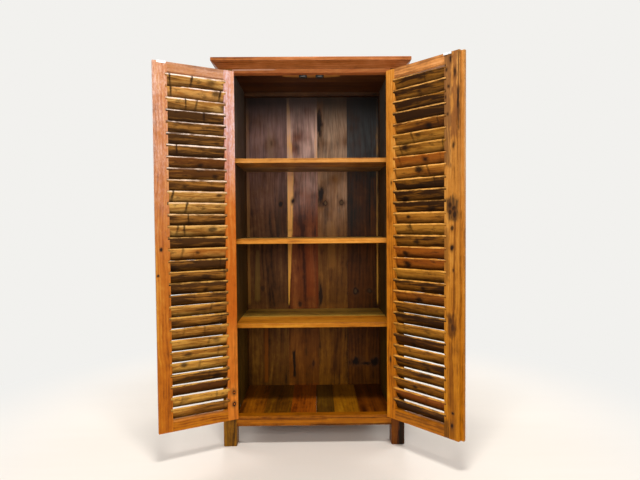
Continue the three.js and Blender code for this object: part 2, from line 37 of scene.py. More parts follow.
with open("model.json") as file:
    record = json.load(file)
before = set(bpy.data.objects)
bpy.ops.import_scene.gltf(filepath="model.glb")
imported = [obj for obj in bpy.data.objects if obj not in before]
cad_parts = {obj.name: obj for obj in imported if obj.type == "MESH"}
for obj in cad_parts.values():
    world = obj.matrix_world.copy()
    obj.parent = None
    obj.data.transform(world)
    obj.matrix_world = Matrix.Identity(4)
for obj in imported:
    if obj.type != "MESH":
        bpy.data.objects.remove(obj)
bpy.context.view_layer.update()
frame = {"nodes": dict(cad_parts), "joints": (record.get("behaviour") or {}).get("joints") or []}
nodes = frame["nodes"]

X, Y, Z = Vector((1, 0, 0)), Vector((0, 1, 0)), Vector((0, 0, 1))

# Louvre slats, as the frame has them
SLAT_COUNT = 30
SLAT_WIDTH = 57 * MM
SLAT_THICKNESS = 8 * MM
SLAT_TILT = math.radians(27)
TILT_SIN, TILT_COS = math.sin(SLAT_TILT), math.cos(SLAT_TILT)
SLAT_PROUD = 5 * MM
SLAT_HOUSING = 8 * MM
SLAT_EASE = 1.4 * MM
SLAT_STATIONS = 30
SLAT_END_GAP = 0.6 * MM
SLAT_END_PLAY = 0.2 * MM
HOUSING_PLAY = 0.7 * MM

# What hand tools left on the slats' upper edges
CHAMFER_LENGTH = 6.5 * MM
CHAMFER_DEPTH = 3.6 * MM
CHAMFER_EASE = 2 * MM
CHAMFER_LIP = 0.4 * MM
EDGE_DRAFT = 0.3 * MM
EDGE_WAVE = 2.6 * MM
EDGE_TAPER = 3.0 * MM
EDGE_STEP = 2.8 * MM

# Their lower edges, which come down further from the first of two heights to the second
FOOT_REACH = 3.7 * MM
FOOT_SPREAD = 1.6 * MM
FOOT_HEIGHTS = (0.28, 0.62)
FOOT_FADE_SHARE = 0.06

# Door stock
DOOR_THICKNESS = 30 * MM
HINGE_STILE_WIDTH = 48 * MM
STILE_EASE = 1.5 * MM
WORN_EDGE = 1.2 * MM
TONGUE_THICKNESS = 4 * MM

# Plugs, with the radius and height of each ring of their profile
PLUG_PROFILE = ((3.4 * MM, -2 * MM), (3.4 * MM, 0.16 * MM), (2.72 * MM, 0.4 * MM))
PLUG_ALONG = 20 * MM
PLUG_HEIGHTS = (0.219, 0.273)

# Hinges
KNUCKLE_RADIUS = 4.5 * MM
KNUCKLE_COUNT = 5
KNUCKLE_GAP = 0.3 * MM
KNUCKLE_EASE = 0.3 * MM
KNUCKLE_RIM_SHARE = 0.93
PIN_RADIUS = 2.4 * MM
PIN_PROUD = 1.5 * MM
PIN_EASE_SHARE = 0.6
HINGE_LENGTH = 76 * MM
HINGE_FROM_DOOR_END = 75 * MM
LEAF_NEAR = 0.75 * MM
LEAF_THICKNESS = 2 * MM
LEAF_SETBACK = 0.6 * MM
LEAF_DEPTH = 25 * MM
RECESS_PLAY = 0.3 * MM

# Screws: how far up a leaf each is, as a share of its length, and how far in from its front
LEAF_SCREWS = ((0.17, 12 * MM), (0.5, 16 * MM), (0.83, 12 * MM))
LEAF_SCREW_RADIUS = 3.1 * MM
STRIKE_SCREW_RADIUS = 2.6 * MM
CATCH_SCREW_RADIUS = 2.4 * MM
# A screw head's rings: shares of its radius, and heights
SCREW_PROFILE = ((0.5, -0.8 * MM), (1, -0.05 * MM), (0.94, 0.15 * MM), (0.55, 0.3 * MM), (0.4, 0.3 * MM),
                 (0.3, -0.3 * MM))

# Strike plates
STRIKE_ON_DOOR = 12 * MM
STRIKE_DROP = 9 * MM
STRIKE_THICKNESS = 1 * MM
STRIKE_CLEAR = 0.1 * MM
STRIKE_LENGTH = 36 * MM
STRIKE_SHIFT = 2 * MM
STRIKE_SCREW_REACH = 11 * MM

# Catches
CATCH_DROP = 9 * MM
CATCH_SINK = 6 * MM
CATCH_GAP = 0.9 * MM
CATCH_CORNER = 5 * MM
CATCH_SCREW_REACH = 13 * MM
CATCH_EDGE = 1.2 * MM
MAGNET_LENGTH = 19 * MM
MAGNET_PROUD = 0.3 * MM
POLE_HEIGHT = 1.3 * MM
POLE_RISES = (1.6 * MM, 3.9 * MM)

# A knob's turned profile from its tenon to its crown: radii and distances out from the door, in millimetres
KNOB_PROFILE = ((4, -12), (4, 0), (8.5, 0.3), (8.6, 1.6), (7.6, 2.9), (5.9, 5), (5.5, 8), (6.6, 11.5),
                (9.2, 14), (11.4, 16.4), (12, 18.9), (11.6, 21.3), (10.3, 23.4), (7.4, 25), (4.5, 25.7),
                (1.6, 26))

# How finely round pieces are drawn, and the angle in degrees from which an edge is a sharp one
ROUND_STEPS = 40
SMALL_ROUND_STEPS = 24
SCREW_STEPS = 20
CORNER_STEPS = 6
CREASE = 35
SLAT_CREASE = 22
KNOB_CREASE = 50
WORN_ANGLE = math.radians(40)


# Shader maths

def paint(code):
    """A colour written as #rrggbb, in the linear values that sockets take."""
    shares = [int(code[place:place + 2], 16) / 255 for place in (1, 3, 5)]
    return (*[share / 12.92 if share <= 0.04045 else ((share + 0.055) / 1.055) ** 2.4 for share in shares], 1)


def operation(kind, reflected=False):
    """The method behind one operator, which adds its Math node. A reflected one has its own value last."""
    def act(field, *others):
        values = (*others, field) if reflected else (field, *others)
        return field.shader.node("ShaderNodeMath", {"operation": kind}, dict(enumerate(values)))
    return act


class Field:
    """One value in a material, written as arithmetic."""

    __add__, __radd__ = operation("ADD"), operation("ADD", True)
    __sub__, __rsub__ = operation("SUBTRACT"), operation("SUBTRACT", True)
    __mul__, __rmul__ = operation("MULTIPLY"), operation("MULTIPLY", True)
    __truediv__, __rtruediv__ = operation("DIVIDE"), operation("DIVIDE", True)
    __pow__ = operation("POWER")
    __abs__ = operation("ABSOLUTE")
    sine = operation("SINE")
    most = operation("MAXIMUM")

    def __init__(self, shader, socket):
        self.shader = shader
        self.socket = socket

    def rise(self, low, high):
        """0 below low and 1 above high, with a smooth rise between them."""
        return self.shader.node("ShaderNodeMapRange", {"interpolation_type": "SMOOTHSTEP"},
                                {"Value": self, "From Min": low, "From Max": high})


class Shader:
    """The nodes of a material, or of the world, under construction."""

    def __init__(self, owner):
        owner.use_nodes = True
        self.owner = owner
        self.tree = owner.node_tree
        self.tree.nodes.clear()

    def node(self, kind, settings=None, inputs=None, output=0):
        """Adds a node, sets it, fills its sockets with numbers, colours or links, and gives one output."""
        added = self.tree.nodes.new(kind)
        for setting, value in (settings or {}).items():
            setattr(added, setting, value)
        for place, value in (inputs or {}).items():
            if isinstance(value, Field):
                self.tree.links.new(value.socket, added.inputs[place])
            else:
                added.inputs[place].default_value = paint(value) if isinstance(value, str) else value
        return Field(self, added.outputs[output]) if added.outputs else None

    def blend(self, share, start, end, way="MIX"):
        """The colour start where share is 0 and end where it is 1."""
        return self.node("ShaderNodeMix", {"data_type": "RGBA", "blend_type": way},
                         {0: share, 6: start, 7: end}, 2)

    def dot(self, vector, axis):
        return self.node("ShaderNodeVectorMath", {"operation": "DOT_PRODUCT"}, {0: vector, 1: axis}, 1)

    def parts(self, vector):
        return [self.dot(vector, axis) for axis in (X, Y, Z)]

    def place(self):
        """Where a point of the surface is, in the cabinet's own frame."""
        return self.node("ShaderNodeTexCoord", output="Object")

    def height(self):
        return self.dot(self.place(), Z)

    def noise(self, parts, detail=2, roughness=0.5):
        place = self.node("ShaderNodeCombineXYZ", inputs=dict(enumerate(parts)))
        return self.node("ShaderNodeTexNoise", inputs={
            "Vector": place, "Scale": 1, "Detail": detail, "Roughness": roughness})

    def bump(self, height, distance, strength):
        return self.node("ShaderNodeBump", inputs={
            "Height": height, "Distance": distance, "Strength": strength})

    def surface(self, **inputs):
        """Ends the material in one Principled shader. Sockets are named with _ for a space."""
        skin = self.node("ShaderNodeBsdfPrincipled", inputs={
            name.replace("_", " "): value for name, value in inputs.items()})
        self.node("ShaderNodeOutputMaterial", inputs={"Surface": skin})
        return self.owner


# Wood

# Where a board's grain lies: along it, across its face and, from these two, through it
Grain = namedtuple("Grain", "origin along across")
# A knot or filled hole at a place along and across its board, with its radii that way, in millimetres, its
# strength and how pale its heart is
Knot = namedtuple("Knot", "along across long wide strength pale", defaults=(1, 0))
# A streak of another colour: how far along and across its board it starts and ends, and its half-width at
# each end, in millimetres
Streak = namedtuple("Streak", "start side end end_side half end_half colour strength ragged", defaults=(1, 1))
# A tone that comes with height, most often a painted sheen or a painted shade: its colour, where it starts
# and is full, its strength, its share of flecks and how even it lies
Bloom = namedtuple("Bloom", "colour foot head strength flecks even", defaults=(0,))
# One layer of a board's figure: how much it varies to the metre along and across the grain, its noise's
# detail and its roughness
Figure = namedtuple("Figure", "along across detail roughness", defaults=(2, 0.5))

DRIFT = Figure(1.3, 4)
WOBBLE = Figure(22, 60)
BROAD = Figure(1.6, 15, 4, 0.6)
STRANDS = Figure(8, 130, 3, 0.6)
MOTTLE = Figure(24, 32, 4, 0.6)
PORES = Figure(60, 1500, 1)
PATCHES = Figure(70, 180, 4, 0.7)
CLOUDS = Figure(7, 9)

KNOT_CORE = "#1c0f08"
KNOT_RIM = "#5c3616"
KNOT_HEART = "#8a6a44"
PORE = "#2a160b"
PORE_STRENGTH = 0.35
SLAT_BAR = "#241204"
SLAT_STAIN_AND_SHADE = "#2c1a0a"
# The slats' dark tone for their random smudges, and for the painted shade on the lower part of each face and
# at the slat ends
WARM_SLAT = "#b0601c"
AMBER = (1.0, 0.80, 0.10, 1)
AMBER_DEPTH = 0.8
AMBER_TOP = 0.2
AMBER_HEIGHTS = (0.1, 1.9)
SLAT_AMBER = 0.62
RING_SPACING = 12 * MM
STREAK_FADE = 12 * MM
STREAK_LEAST_HALF = 1 * MM
BOARD_RELIEF = 0.5 * MM
WOOD_SPECULAR = 0.1
COAT_ROUGHNESS = 0.3

# On the slats: how far the painted shade on the lower part of each face wavers up, how ragged and how soft
# the painted highlight on the planed edge is, and the painted shade at the ends
SLAT_SHADE_WAVER = 34 * MM
SLAT_SHADE_TOP = SLAT_WIDTH / 8
EDGE_RAGGED = 5 * MM
EDGE_SOFT = 2 * MM
END_SHADE = 3 * MM
# Their dark bars, each with its half-width and how much it slants
FIRST_BAR = (6 * MM, 0.12)
SECOND_BAR = (5 * MM, -0.08)
BAR_DRIFT = 8 * MM
BAR_RAGGED = 13 * MM
# Their knot's radii along and across, and how far across the slat it may lie
SLAT_KNOT_LONG = 14 * MM
SLAT_KNOT_WIDE = 11 * MM
SLAT_KNOT_SPREAD = 34 * MM
SLAT_RELIEF = 0.6 * MM
# What each slat's mesh tells its material: the place on the board, the tone and where the marks are
SLAT_LAYERS = ("board_place", "board_tone", "board_marks")
# The number of each door's first slat, by which the slats differ
FIRST_SLAT = {"left": 0, "right": 40}


def board_places(shader, grain):
    place = shader.place()
    through = grain.along.cross(grain.across)
    return [shader.dot(place, axis) - axis.dot(grain.origin) for axis in (grain.along, grain.across, through)]


def figured(shader, figure, along, across, through):
    """One layer of a board's figure."""
    return shader.noise((along * figure.along, across * figure.across, through * figure.across),
                        figure.detail, figure.roughness)


def in_amber(shader, colour, strength=1.0):
    """Turns the wood towards amber, the more so the nearer it is to the floor."""
    depth = (1 - shader.height().rise(*AMBER_HEIGHTS)) * (AMBER_DEPTH * strength) + AMBER_TOP * strength
    return shader.blend(depth, colour, AMBER, "MULTIPLY")


def in_timber(shader, tone, timber, light_from=1.0):
    """A timber's three colours, from its dark one at a low tone to its light one at a high tone."""
    dark, middle, light = timber
    colour = shader.blend(tone.rise(0.1, 0.55), dark, middle)
    return shader.blend(tone.rise(0.5, light_from), colour, light)


def add_pores(shader, colour, pores):
    return shader.blend(pores.rise(0.58, 0.74) * PORE_STRENGTH, colour, PORE)


def add_knots(shader, colour, along, across, wobble, knots):
    for knot in (Knot(*row) for row in knots):
        off_along = (along - knot.along * MM) / (knot.long * MM)
        off_across = (across - knot.across * MM) / (knot.wide * MM)
        reach = (off_along ** 2 + off_across ** 2) ** 0.5 + wobble * 1.6
        colour = shader.blend((1 - reach.rise(0.7, 1.9)) * (0.6 * knot.strength), colour, KNOT_RIM)
        colour = shader.blend((1 - reach.rise(0.4, 1.1)) * knot.strength, colour, KNOT_CORE)
        if knot.pale:
            colour = shader.blend((1 - reach.rise(0.3, 0.55)) * knot.pale, colour, KNOT_HEART)
    return colour


def add_streaks(shader, colour, along, across, wobble, strands, streaks):
    for streak in (Streak(*row) for row in streaks):
        start, side, end, end_side, half, end_half = (part * MM for part in streak[:6])
        length = abs(end - start)
        share = (along - start) / (end - start) + wobble * (0.014 * streak.ragged / length)
        middle = side + (end_side - side) * share
        reach = (half + (end_half - half) * share).most(STREAK_LEAST_HALF)
        offset = abs(across - middle) + wobble * (0.008 * streak.ragged)
        wide = 1 - (offset / reach).rise(0.7, 1.3)
        fade = STREAK_FADE / length
        long = share.rise(-fade, fade) * (1 - share.rise(1 - fade, 1 + fade))
        grained = 1 - strands.rise(0.5, 0.72) * 0.4
        colour = shader.blend(wide * long * grained * streak.strength, colour, streak.colour)
    return colour


def add_blooms(shader, colour, far, strands, blooms):
    for bloom in (Bloom(*row) for row in blooms):
        height = shader.height()
        patches = figured(shader, PATCHES, *far)
        clouds = figured(shader, CLOUDS, *far)
        uneven = clouds.rise(0.15, 0.65) * (1 - bloom.flecks + patches.rise(0.42, 0.62) * bloom.flecks)
        uneven = uneven * (0.5 + strands.rise(0.33, 0.67) * 0.52)
        share = height.rise(bloom.foot, bloom.head) * (uneven * (1 - bloom.even) + bloom.even)
        colour = shader.blend(share * bloom.strength, colour, bloom.colour)
    return colour


def teak(name, grain, timber, seed, figure=1.0, knots=(), streaks=(), blooms=(), roughness=0.4, coat=0.04):
    """Oiled reclaimed teak. The seed sets a board's figure apart from the others'."""
    shader = Shader(bpy.data.materials.new(name))
    along, across, through = board_places(shader, grain)
    far = (along + seed * 3.7, across + seed * 1.3, through + seed * 0.9)
    drift = figured(shader, DRIFT, *far) - 0.5
    wobble = figured(shader, WOBBLE, *far) - 0.5
    bent = across + drift * 0.09 + wobble * 0.004
    heart = ((bent + 0.03 + 0.02 * math.sin(seed)) ** 2 + (through + 0.05) ** 2) ** 0.5
    rings = (heart * (2 * math.pi / RING_SPACING) + wobble * 3).sine()
    broad = figured(shader, BROAD, far[0], bent + seed, far[2])
    strands = figured(shader, STRANDS, far[0], bent + seed, far[2])
    mottle = figured(shader, MOTTLE, *far)
    pores = figured(shader, PORES, *far)
    tone = (0.5 + (broad - 0.5) * (1.7 * figure) + (strands - 0.5) * (0.6 * figure) + rings * (0.09 * figure)
            + (mottle - 0.5) * 0.7)
    colour = add_pores(shader, in_timber(shader, tone, timber), pores)
    colour = in_amber(shader, add_streaks(shader, colour, along, across, wobble, strands, streaks))
    colour = add_blooms(shader, colour, far, strands, blooms)
    colour = add_knots(shader, colour, along, across, wobble, knots)
    relief = strands * 0.5 + pores * 0.5 + rings * 0.1
    return shader.surface(
        Base_Color=colour, Roughness=roughness + (strands - 0.5) * 0.25 - (broad - 0.5) * 0.15,
        Specular_IOR_Level=WOOD_SPECULAR, Coat_Weight=coat, Coat_Roughness=COAT_ROUGHNESS,
        Normal=shader.bump(relief, BOARD_RELIEF, 0.35))


def slat_teak(name, length, timber, low_edge_highlight, high_edge_highlight, bar_share, knot_share):
    """Narrow reclaimed slats, each with its own tone, two dark bars across, a knot, a painted highlight on
    its planed edge and painted shade low on its face and at its ends.
    """
    shader = Shader(bpy.data.materials.new(name))
    place, own, marks = (shader.node("ShaderNodeAttribute", {"attribute_name": layer}, output="Vector")
                         for layer in SLAT_LAYERS)
    along, wide, thick = shader.parts(place)
    tone_shift, warmth, lot = shader.parts(own)
    first_place, second_place, knot = shader.parts(marks)
    spread = lot * 31
    drift = shader.noise((along * 4 + spread, wide * 14, thick * 14 + spread)) - 0.5
    bent = wide + drift * 0.03
    broad = shader.noise((along * 4 + spread, bent * 32, thick * 32 + spread), 4, 0.6)
    strands = shader.noise((along * 11 + spread, bent * 190, thick * 190 + spread), 3, 0.6)
    pores = shader.noise((along * 90, wide * 1800, thick * 1800 + spread), 1)
    ragged = shader.noise((along * 60 + spread, wide * 45 + spread, thick * 45), 3, 0.6) - 0.5
    smudges = shader.noise((along * 24 + spread, wide * 55 + spread, thick * 55), 4, 0.65)
    tone = 0.5 + (broad - 0.5) * 2.3 + (strands - 0.5) * 1.3 + (tone_shift - 0.5) * 0.9
    colour = in_timber(shader, tone, timber, 1.05)
    colour = shader.blend(warmth.rise(0.7, 1.0) * 0.6, colour, WARM_SLAT)

    colour = shader.blend(smudges.rise(0.52, 0.7) * 0.6, colour, SLAT_STAIN_AND_SHADE)
    # Painted shade on the lower part of each slat's face, where the slat above shades it
    lower = (wide + (smudges - 0.5) * SLAT_SHADE_WAVER).rise(-SLAT_WIDTH / 2, SLAT_SHADE_TOP)
    colour = shader.blend((1 - lower) * 0.9, colour, SLAT_STAIN_AND_SHADE)

    height = shader.height()
    # Painted highlight on the planed upper edge, whiter higher up; it comes and goes along the slat
    edge_highlight = shader.blend(height.rise(0.95, 1.35), low_edge_highlight, high_edge_highlight)
    edge = (wide - (SLAT_WIDTH / 2 - CHAMFER_LENGTH) + ragged * EDGE_RAGGED).rise(0, EDGE_SOFT)
    worn = (broad * 0.5 + smudges * 0.5).rise(0.38, 0.58)
    colour = shader.blend(edge * (0.1 + worn * 0.85), colour, edge_highlight)

    bars = ((first_place, *FIRST_BAR, tone_shift.rise(0.3, 0.75) * bar_share),
            (second_place, *SECOND_BAR, lot.rise(0.4, 0.8) * bar_share))
    upper = (wide.rise(-SLAT_WIDTH / 2, SLAT_SHADE_TOP) * 0.7 + 0.3) * (0.45 + height.rise(0.7, 1.2) * 0.55)
    for bar_place, half, slant, strength in bars:
        offset = abs(along - bar_place + wide * slant + drift * BAR_DRIFT) + ragged * BAR_RAGGED
        colour = shader.blend((1 - (offset / half).rise(0.2, 1.4)) * strength * upper, colour, SLAT_BAR)
    # Painted shade at the slat ends, where they go into the stiles' housings
    for end in (along, length - along):
        shade = 1 - end.rise(SLAT_HOUSING - END_SHADE, SLAT_HOUSING)
        colour = shader.blend(shade * 0.25, colour, SLAT_STAIN_AND_SHADE)

    knot_side = (tone_shift - 0.5) * SLAT_KNOT_SPREAD
    reach = (((along - knot) / SLAT_KNOT_LONG) ** 2 + ((wide - knot_side) / SLAT_KNOT_WIDE) ** 2) ** 0.5
    blot = 1 - (reach / (0.7 + lot * 0.9) + (smudges - 0.5) * 2.4).rise(0.3, 1.5)
    colour = shader.blend(blot * warmth.rise(0.1, 0.6) * knot_share, colour, KNOT_CORE)
    return shader.surface(
        Base_Color=in_amber(shader, add_pores(shader, colour, pores), SLAT_AMBER),
        Roughness=0.42 + (strands - 0.5) * 0.3, Specular_IOR_Level=WOOD_SPECULAR,
        Normal=shader.bump(strands * 0.6 + pores * 0.4, SLAT_RELIEF, 0.4))


# Metals

METAL_RELIEF = 0.15 * MM


def metal(name, colour, tarnish, roughness, shine=0.95):
    """A worn metal: its clean colour, and the tarnish that lies on it in patches."""
    shader = Shader(bpy.data.materials.new(name))
    x, y, z = shader.parts(shader.place())
    patches = shader.noise((x * 140, y * 140, z * 140), 4, 0.6)
    brushed = shader.noise((x * 900, y * 900, z * 120), 2)
    worn = patches.rise(0.42, 0.66)
    return shader.surface(
        Base_Color=shader.blend(worn * 0.8, colour, tarnish), Metallic=shine - worn * 0.35,
        Roughness=roughness + worn * 0.25 + (brushed - 0.5) * 0.12,
        Normal=shader.bump(brushed * 0.4 + patches * 0.6, METAL_RELIEF, 0.3))


brass = metal("aged_brass", "#a8843e", "#4a3a1e", 0.32)
# The strike plates' near-white colour is a painted shine that stands in for their bright reflection
strike_steel_shine = metal("strike_steel_shine", "#f8fcff", "#8c989e", 0.4, 0.35)
catch_iron = metal("catch_iron", "#161412", "#0c0a09", 0.6, 0.4)
magnet_steel = metal("magnet_steel", "#8a8a88", "#56544f", 0.4, 0.6)


# Meshes

def round_steps(steps):
    """The angles of a full turn, in even steps."""
    return [2 * math.pi * step / steps for step in range(steps)]


def shell(mesh, rings):
    """Adds a closed skin over rings with the same number of points."""
    loops = [[mesh.verts.new(point) for point in ring] for ring in rings]
    for ring, following in zip(loops, loops[1:]):
        for corner in range(len(ring)):
            after = (corner + 1) % len(ring)
            mesh.faces.new((ring[corner], ring[after], following[after], following[corner]))
    mesh.faces.new(loops[0][::-1])
    mesh.faces.new(loops[-1])
    return loops


def turned(mesh, centre, axis, profile, steps=ROUND_STEPS):
    """Adds a round piece about axis, from (radius, distance along the axis) pairs."""
    side = axis.orthogonal().normalized()
    other = axis.cross(side)
    shell(mesh, [[
        centre + axis * distance + (side * math.cos(angle) + other * math.sin(angle)) * radius
        for angle in round_steps(steps)] for radius, distance in profile])


def bar(mesh, corner, *edges):
    """Adds a box from one corner and its three edges."""
    a, b, c = edges
    face = [corner, corner + a, corner + a + b, corner + b]
    shell(mesh, [face, [point + c for point in face]])


def screw_head(mesh, centre, axis, radius):
    """Adds a countersunk screw head with a shallow round socket."""
    turned(mesh, centre, axis, [(radius * share, height) for share, height in SCREW_PROFILE], SCREW_STEPS)


def in_scene(name, mesh, material):
    """Ends a mesh under construction as an object of the scene."""
    data = bpy.data.meshes.new(name)
    mesh.to_mesh(data)
    mesh.free()
    data.materials.append(material)
    placed = bpy.data.objects.new(name, data)
    bpy.context.scene.collection.objects.link(placed)
    return placed


def made(name, mesh, body, material, replaced=(), crease=CREASE):
    """Turns a finished mesh into a named piece that rides on a body."""
    bmesh.ops.recalc_face_normals(mesh, faces=mesh.faces)
    for face in mesh.faces:
        face.smooth = True
    for edge in mesh.edges:
        edge.smooth = edge.calc_face_angle(0) < math.radians(crease)
    piece = in_scene(name, mesh, material)
    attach(piece, body)
    if replaced:
        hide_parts(*replaced)
    return piece


def soften(piece):
    """Wears a piece's sharp edges."""
    bevel = piece.modifiers.new("worn_edges", "BEVEL")
    bevel.width = WORN_EDGE
    bevel.segments = 2
    bevel.limit_method = "ANGLE"
    bevel.angle_limit = WORN_ANGLE


def carve(piece, cutters):
    """Cuts the cutter mesh out of a piece for good."""
    bmesh.ops.recalc_face_normals(cutters, faces=cutters.faces)
    tool = in_scene("cutters", cutters, piece.data.materials[0])
    cut = piece.modifiers.new("housings", "BOOLEAN")
    cut.operation = "DIFFERENCE"
    cut.solver = "EXACT"
    cut.use_self = True
    cut.object = tool
    evaluated = piece.evaluated_get(bpy.context.evaluated_depsgraph_get())
    carved = bpy.data.meshes.new_from_object(evaluated)
    piece.modifiers.remove(cut)
    piece.data = carved
    bpy.data.objects.remove(tool)


# Doors, as they hang at rest

class Door:
    """Along runs from the hinge axis to the free edge, inward from the outer face."""

    def __init__(self, side):
        joint = next(entry for entry in frame["joints"] if entry["child"] == f"{side}_door")
        self.side = side
        self.body = f"{side}_door"
        self.hand = -1 if side == "left" else 1
        self.hinge = Vector(joint["pos_m"])
        turn = math.radians(max(abs(limit) for limit in joint["range_deg"]))
        self.along = Vector((-self.hand * math.cos(turn), -math.sin(turn), 0))
        self.inward = Vector((-self.hand * math.sin(turn), math.cos(turn), 0))
        # The grain of its stiles, and of its rails and slats
        self.upright = Grain(self.hinge, Z, self.along)
        self.level = Grain(self.hinge, self.along, Z)
        low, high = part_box(f"{side}_meeting_stile")
        self.bottom, self.top = low.z, high.z
        self.outer = KNUCKLE_RADIUS
        self.inner = self.outer + DOOR_THICKNESS
        self.louvre_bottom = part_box(f"{side}_door_bottom_rail")[1].z
        self.louvre_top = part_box(f"{side}_door_top_rail")[0].z
        self.stile_face = LEAF_NEAR + HINGE_STILE_WIDTH
        self.slat_start = self.stile_face - SLAT_HOUSING + SLAT_END_PLAY
        self.slat_end = self.reach(f"{side}_meeting_stile") + SLAT_HOUSING - SLAT_END_PLAY
        self.slat_length = self.slat_end - self.slat_start

    def reach(self, node):
        """How far along the door one of its pieces starts."""
        return min((vertex.co - self.hinge).dot(self.along) for vertex in nodes[node].data.vertices)

    def at(self, along, inward, height):
        return self.hinge + self.along * along + self.inward * inward + Z * height


doors = {side: Door(side) for side in ("left", "right")}


# Louvres

# What chance gave each slat, from -1 to 1: its tone, warmth and lot, the places of its two bars and its knot,
# and how it was planed
Draws = namedtuple("Draws", "tone warmth lot first_bar second_bar knot taper step_place step foot")


def draws_of(number):
    return Draws(*[noise.cell(Vector((number + 0.5, channel + 0.5, 2.5))) for channel in range(10)])


def slat_heights(door):
    half_rise = SLAT_WIDTH / 2 * TILT_COS + SLAT_THICKNESS / 2 * TILT_SIN
    low = door.louvre_bottom + SLAT_END_GAP + half_rise
    high = door.louvre_top - SLAT_END_GAP - half_rise
    return [low + (high - low) * slat / (SLAT_COUNT - 1) for slat in range(SLAT_COUNT)]


def slat_point(door, along, height, wide, thick):
    half_depth = SLAT_WIDTH / 2 * TILT_SIN + SLAT_THICKNESS / 2 * TILT_COS
    middle = door.inner + SLAT_PROUD - half_depth
    return door.at(along, middle + wide * TILT_SIN + thick * TILT_COS,
                   height + wide * TILT_COS - thick * TILT_SIN)


def foot_reach(height, draws):
    """How far a slat's lower edge comes down past its plain width: less on the lowest slats."""
    low, high = FOOT_HEIGHTS
    rise = min(1.0, max(0.0, (height - low) / (high - low)))
    return FOOT_REACH * rise + FOOT_SPREAD * (draws.foot * 0.5 - 0.5) * (0.4 + 0.6 * rise)


def edge_wave(share, number, place, size):
    """How far a hand-planed edge falls short at a share of its length."""
    slow = noise.noise(Vector((share * 5 + number * 9.1, place, number)))
    quick = noise.noise(Vector((share * 15 + number * 4.3, place, number)))
    return size * max(0.0, 0.45 + 0.6 * slow + 0.35 * quick)


def slat_section(share, number, draws, reach):
    """A slat's section at a share of its length: its upper edge waves and its inner corner is planed off."""
    half, deep = SLAT_WIDTH / 2, SLAT_THICKNESS / 2
    dip = edge_wave(share, number, 0.0, EDGE_WAVE)
    dip += EDGE_TAPER * max(0.0, draws.taper * (share - 0.5) + abs(draws.taper) / 2)
    dip += EDGE_STEP * max(0.0, draws.step) * (share > 0.5 + 0.4 * draws.step_place)
    foot = edge_wave(share, number, 3.0, EDGE_WAVE / 2)
    foot -= reach * min(1.0, share / FOOT_FADE_SHARE, (1 - share) / FOOT_FADE_SHARE)
    planed = CHAMFER_LENGTH * (0.55 + 0.3 * noise.noise(Vector((share * 9, 5.0, number)))) + dip
    top_depth = deep - CHAMFER_DEPTH * (0.75 + 0.25 * noise.noise(Vector((share * 11, 7.0, number))))
    return [
        (-half + SLAT_EASE + foot, -deep), (half - SLAT_EASE - dip, -deep), (half - dip, -deep + SLAT_EASE),
        (half - dip - EDGE_DRAFT, top_depth), (half - planed, deep - CHAMFER_LIP),
        (half - planed - CHAMFER_EASE, deep), (-half + SLAT_EASE + foot, deep),
        (-half + foot, deep - SLAT_EASE), (-half + foot, -deep + SLAT_EASE)]


def build_slats(door, material):
    """All of a door's slats, each a closed board with its own grain."""
    mesh = bmesh.new()
    layers = [mesh.verts.layers.float_vector.new(name) for name in SLAT_LAYERS]
    shares = [station / (SLAT_STATIONS - 1) for station in range(SLAT_STATIONS)]
    for slat, height in enumerate(slat_heights(door)):
        number = slat + FIRST_SLAT[door.side]
        draws = draws_of(number)
        levels = [draw * 0.5 + 0.5 for draw in draws]
        tone, marks = Vector(levels[:3]), Vector(levels[3:6]) * door.slat_length
        reach = foot_reach(height, draws)
        sections = [slat_section(share, number, draws, reach) for share in shares]
        rings = [[slat_point(door, door.slat_start + door.slat_length * share, height, wide, thick)
                  for wide, thick in section] for share, section in zip(shares, sections)]
        for share, section, loop in zip(shares, sections, shell(mesh, rings)):
            for vertex, (wide, thick) in zip(loop, section):
                place = Vector((door.slat_length * share, wide, thick))
                for layer, value in zip(layers, (place, tone, marks)):
                    vertex[layer] = value
    made(f"{door.side}_louvre_slats", mesh, door.body, material, crease=SLAT_CREASE)


def hinge_heights(door):
    return {"lower": door.bottom + HINGE_FROM_DOOR_END, "upper": door.top - HINGE_FROM_DOOR_END}


def build_hinge_stile(door, material):
    """The stile that hangs on the hinges, with a housing for each slat and a recess for each leaf."""
    near, far, outer, inner, ease = LEAF_NEAR, door.stile_face, door.outer, door.inner, STILE_EASE
    outline = [(near + ease, outer), (far - ease, outer), (far, outer + ease), (far, inner - ease),
               (far - ease, inner), (near + ease, inner), (near, inner - ease), (near, outer + ease)]
    mesh = bmesh.new()
    shell(mesh, [[door.at(along, inward, height) for along, inward in outline]
                 for height in (door.bottom, door.top)])
    stile = made(f"{door.side}_hinge_stile", mesh, door.body, material,
                 [f"{door.side}_hinge_stile_with_slats"])
    cutters = bmesh.new()
    half, deep = SLAT_WIDTH / 2 + HOUSING_PLAY, SLAT_THICKNESS / 2 + HOUSING_PLAY
    for height in slat_heights(door):
        shell(cutters, [[slat_point(door, along, height, wide, thick) for wide, thick in (
            (-half, -deep), (half, -deep), (half, deep), (-half, deep))]
            for along in (far - SLAT_HOUSING, far + SLAT_HOUSING)])
    for height in hinge_heights(door).values():
        foot = height - HINGE_LENGTH / 2 - RECESS_PLAY
        bar(cutters, door.at(near - LEAF_DEPTH, outer - LEAF_DEPTH, foot),
            door.along * (LEAF_DEPTH + LEAF_THICKNESS + RECESS_PLAY),
            door.inward * (2 * LEAF_DEPTH + RECESS_PLAY), Z * (HINGE_LENGTH + 2 * RECESS_PLAY))
    carve(stile, cutters)


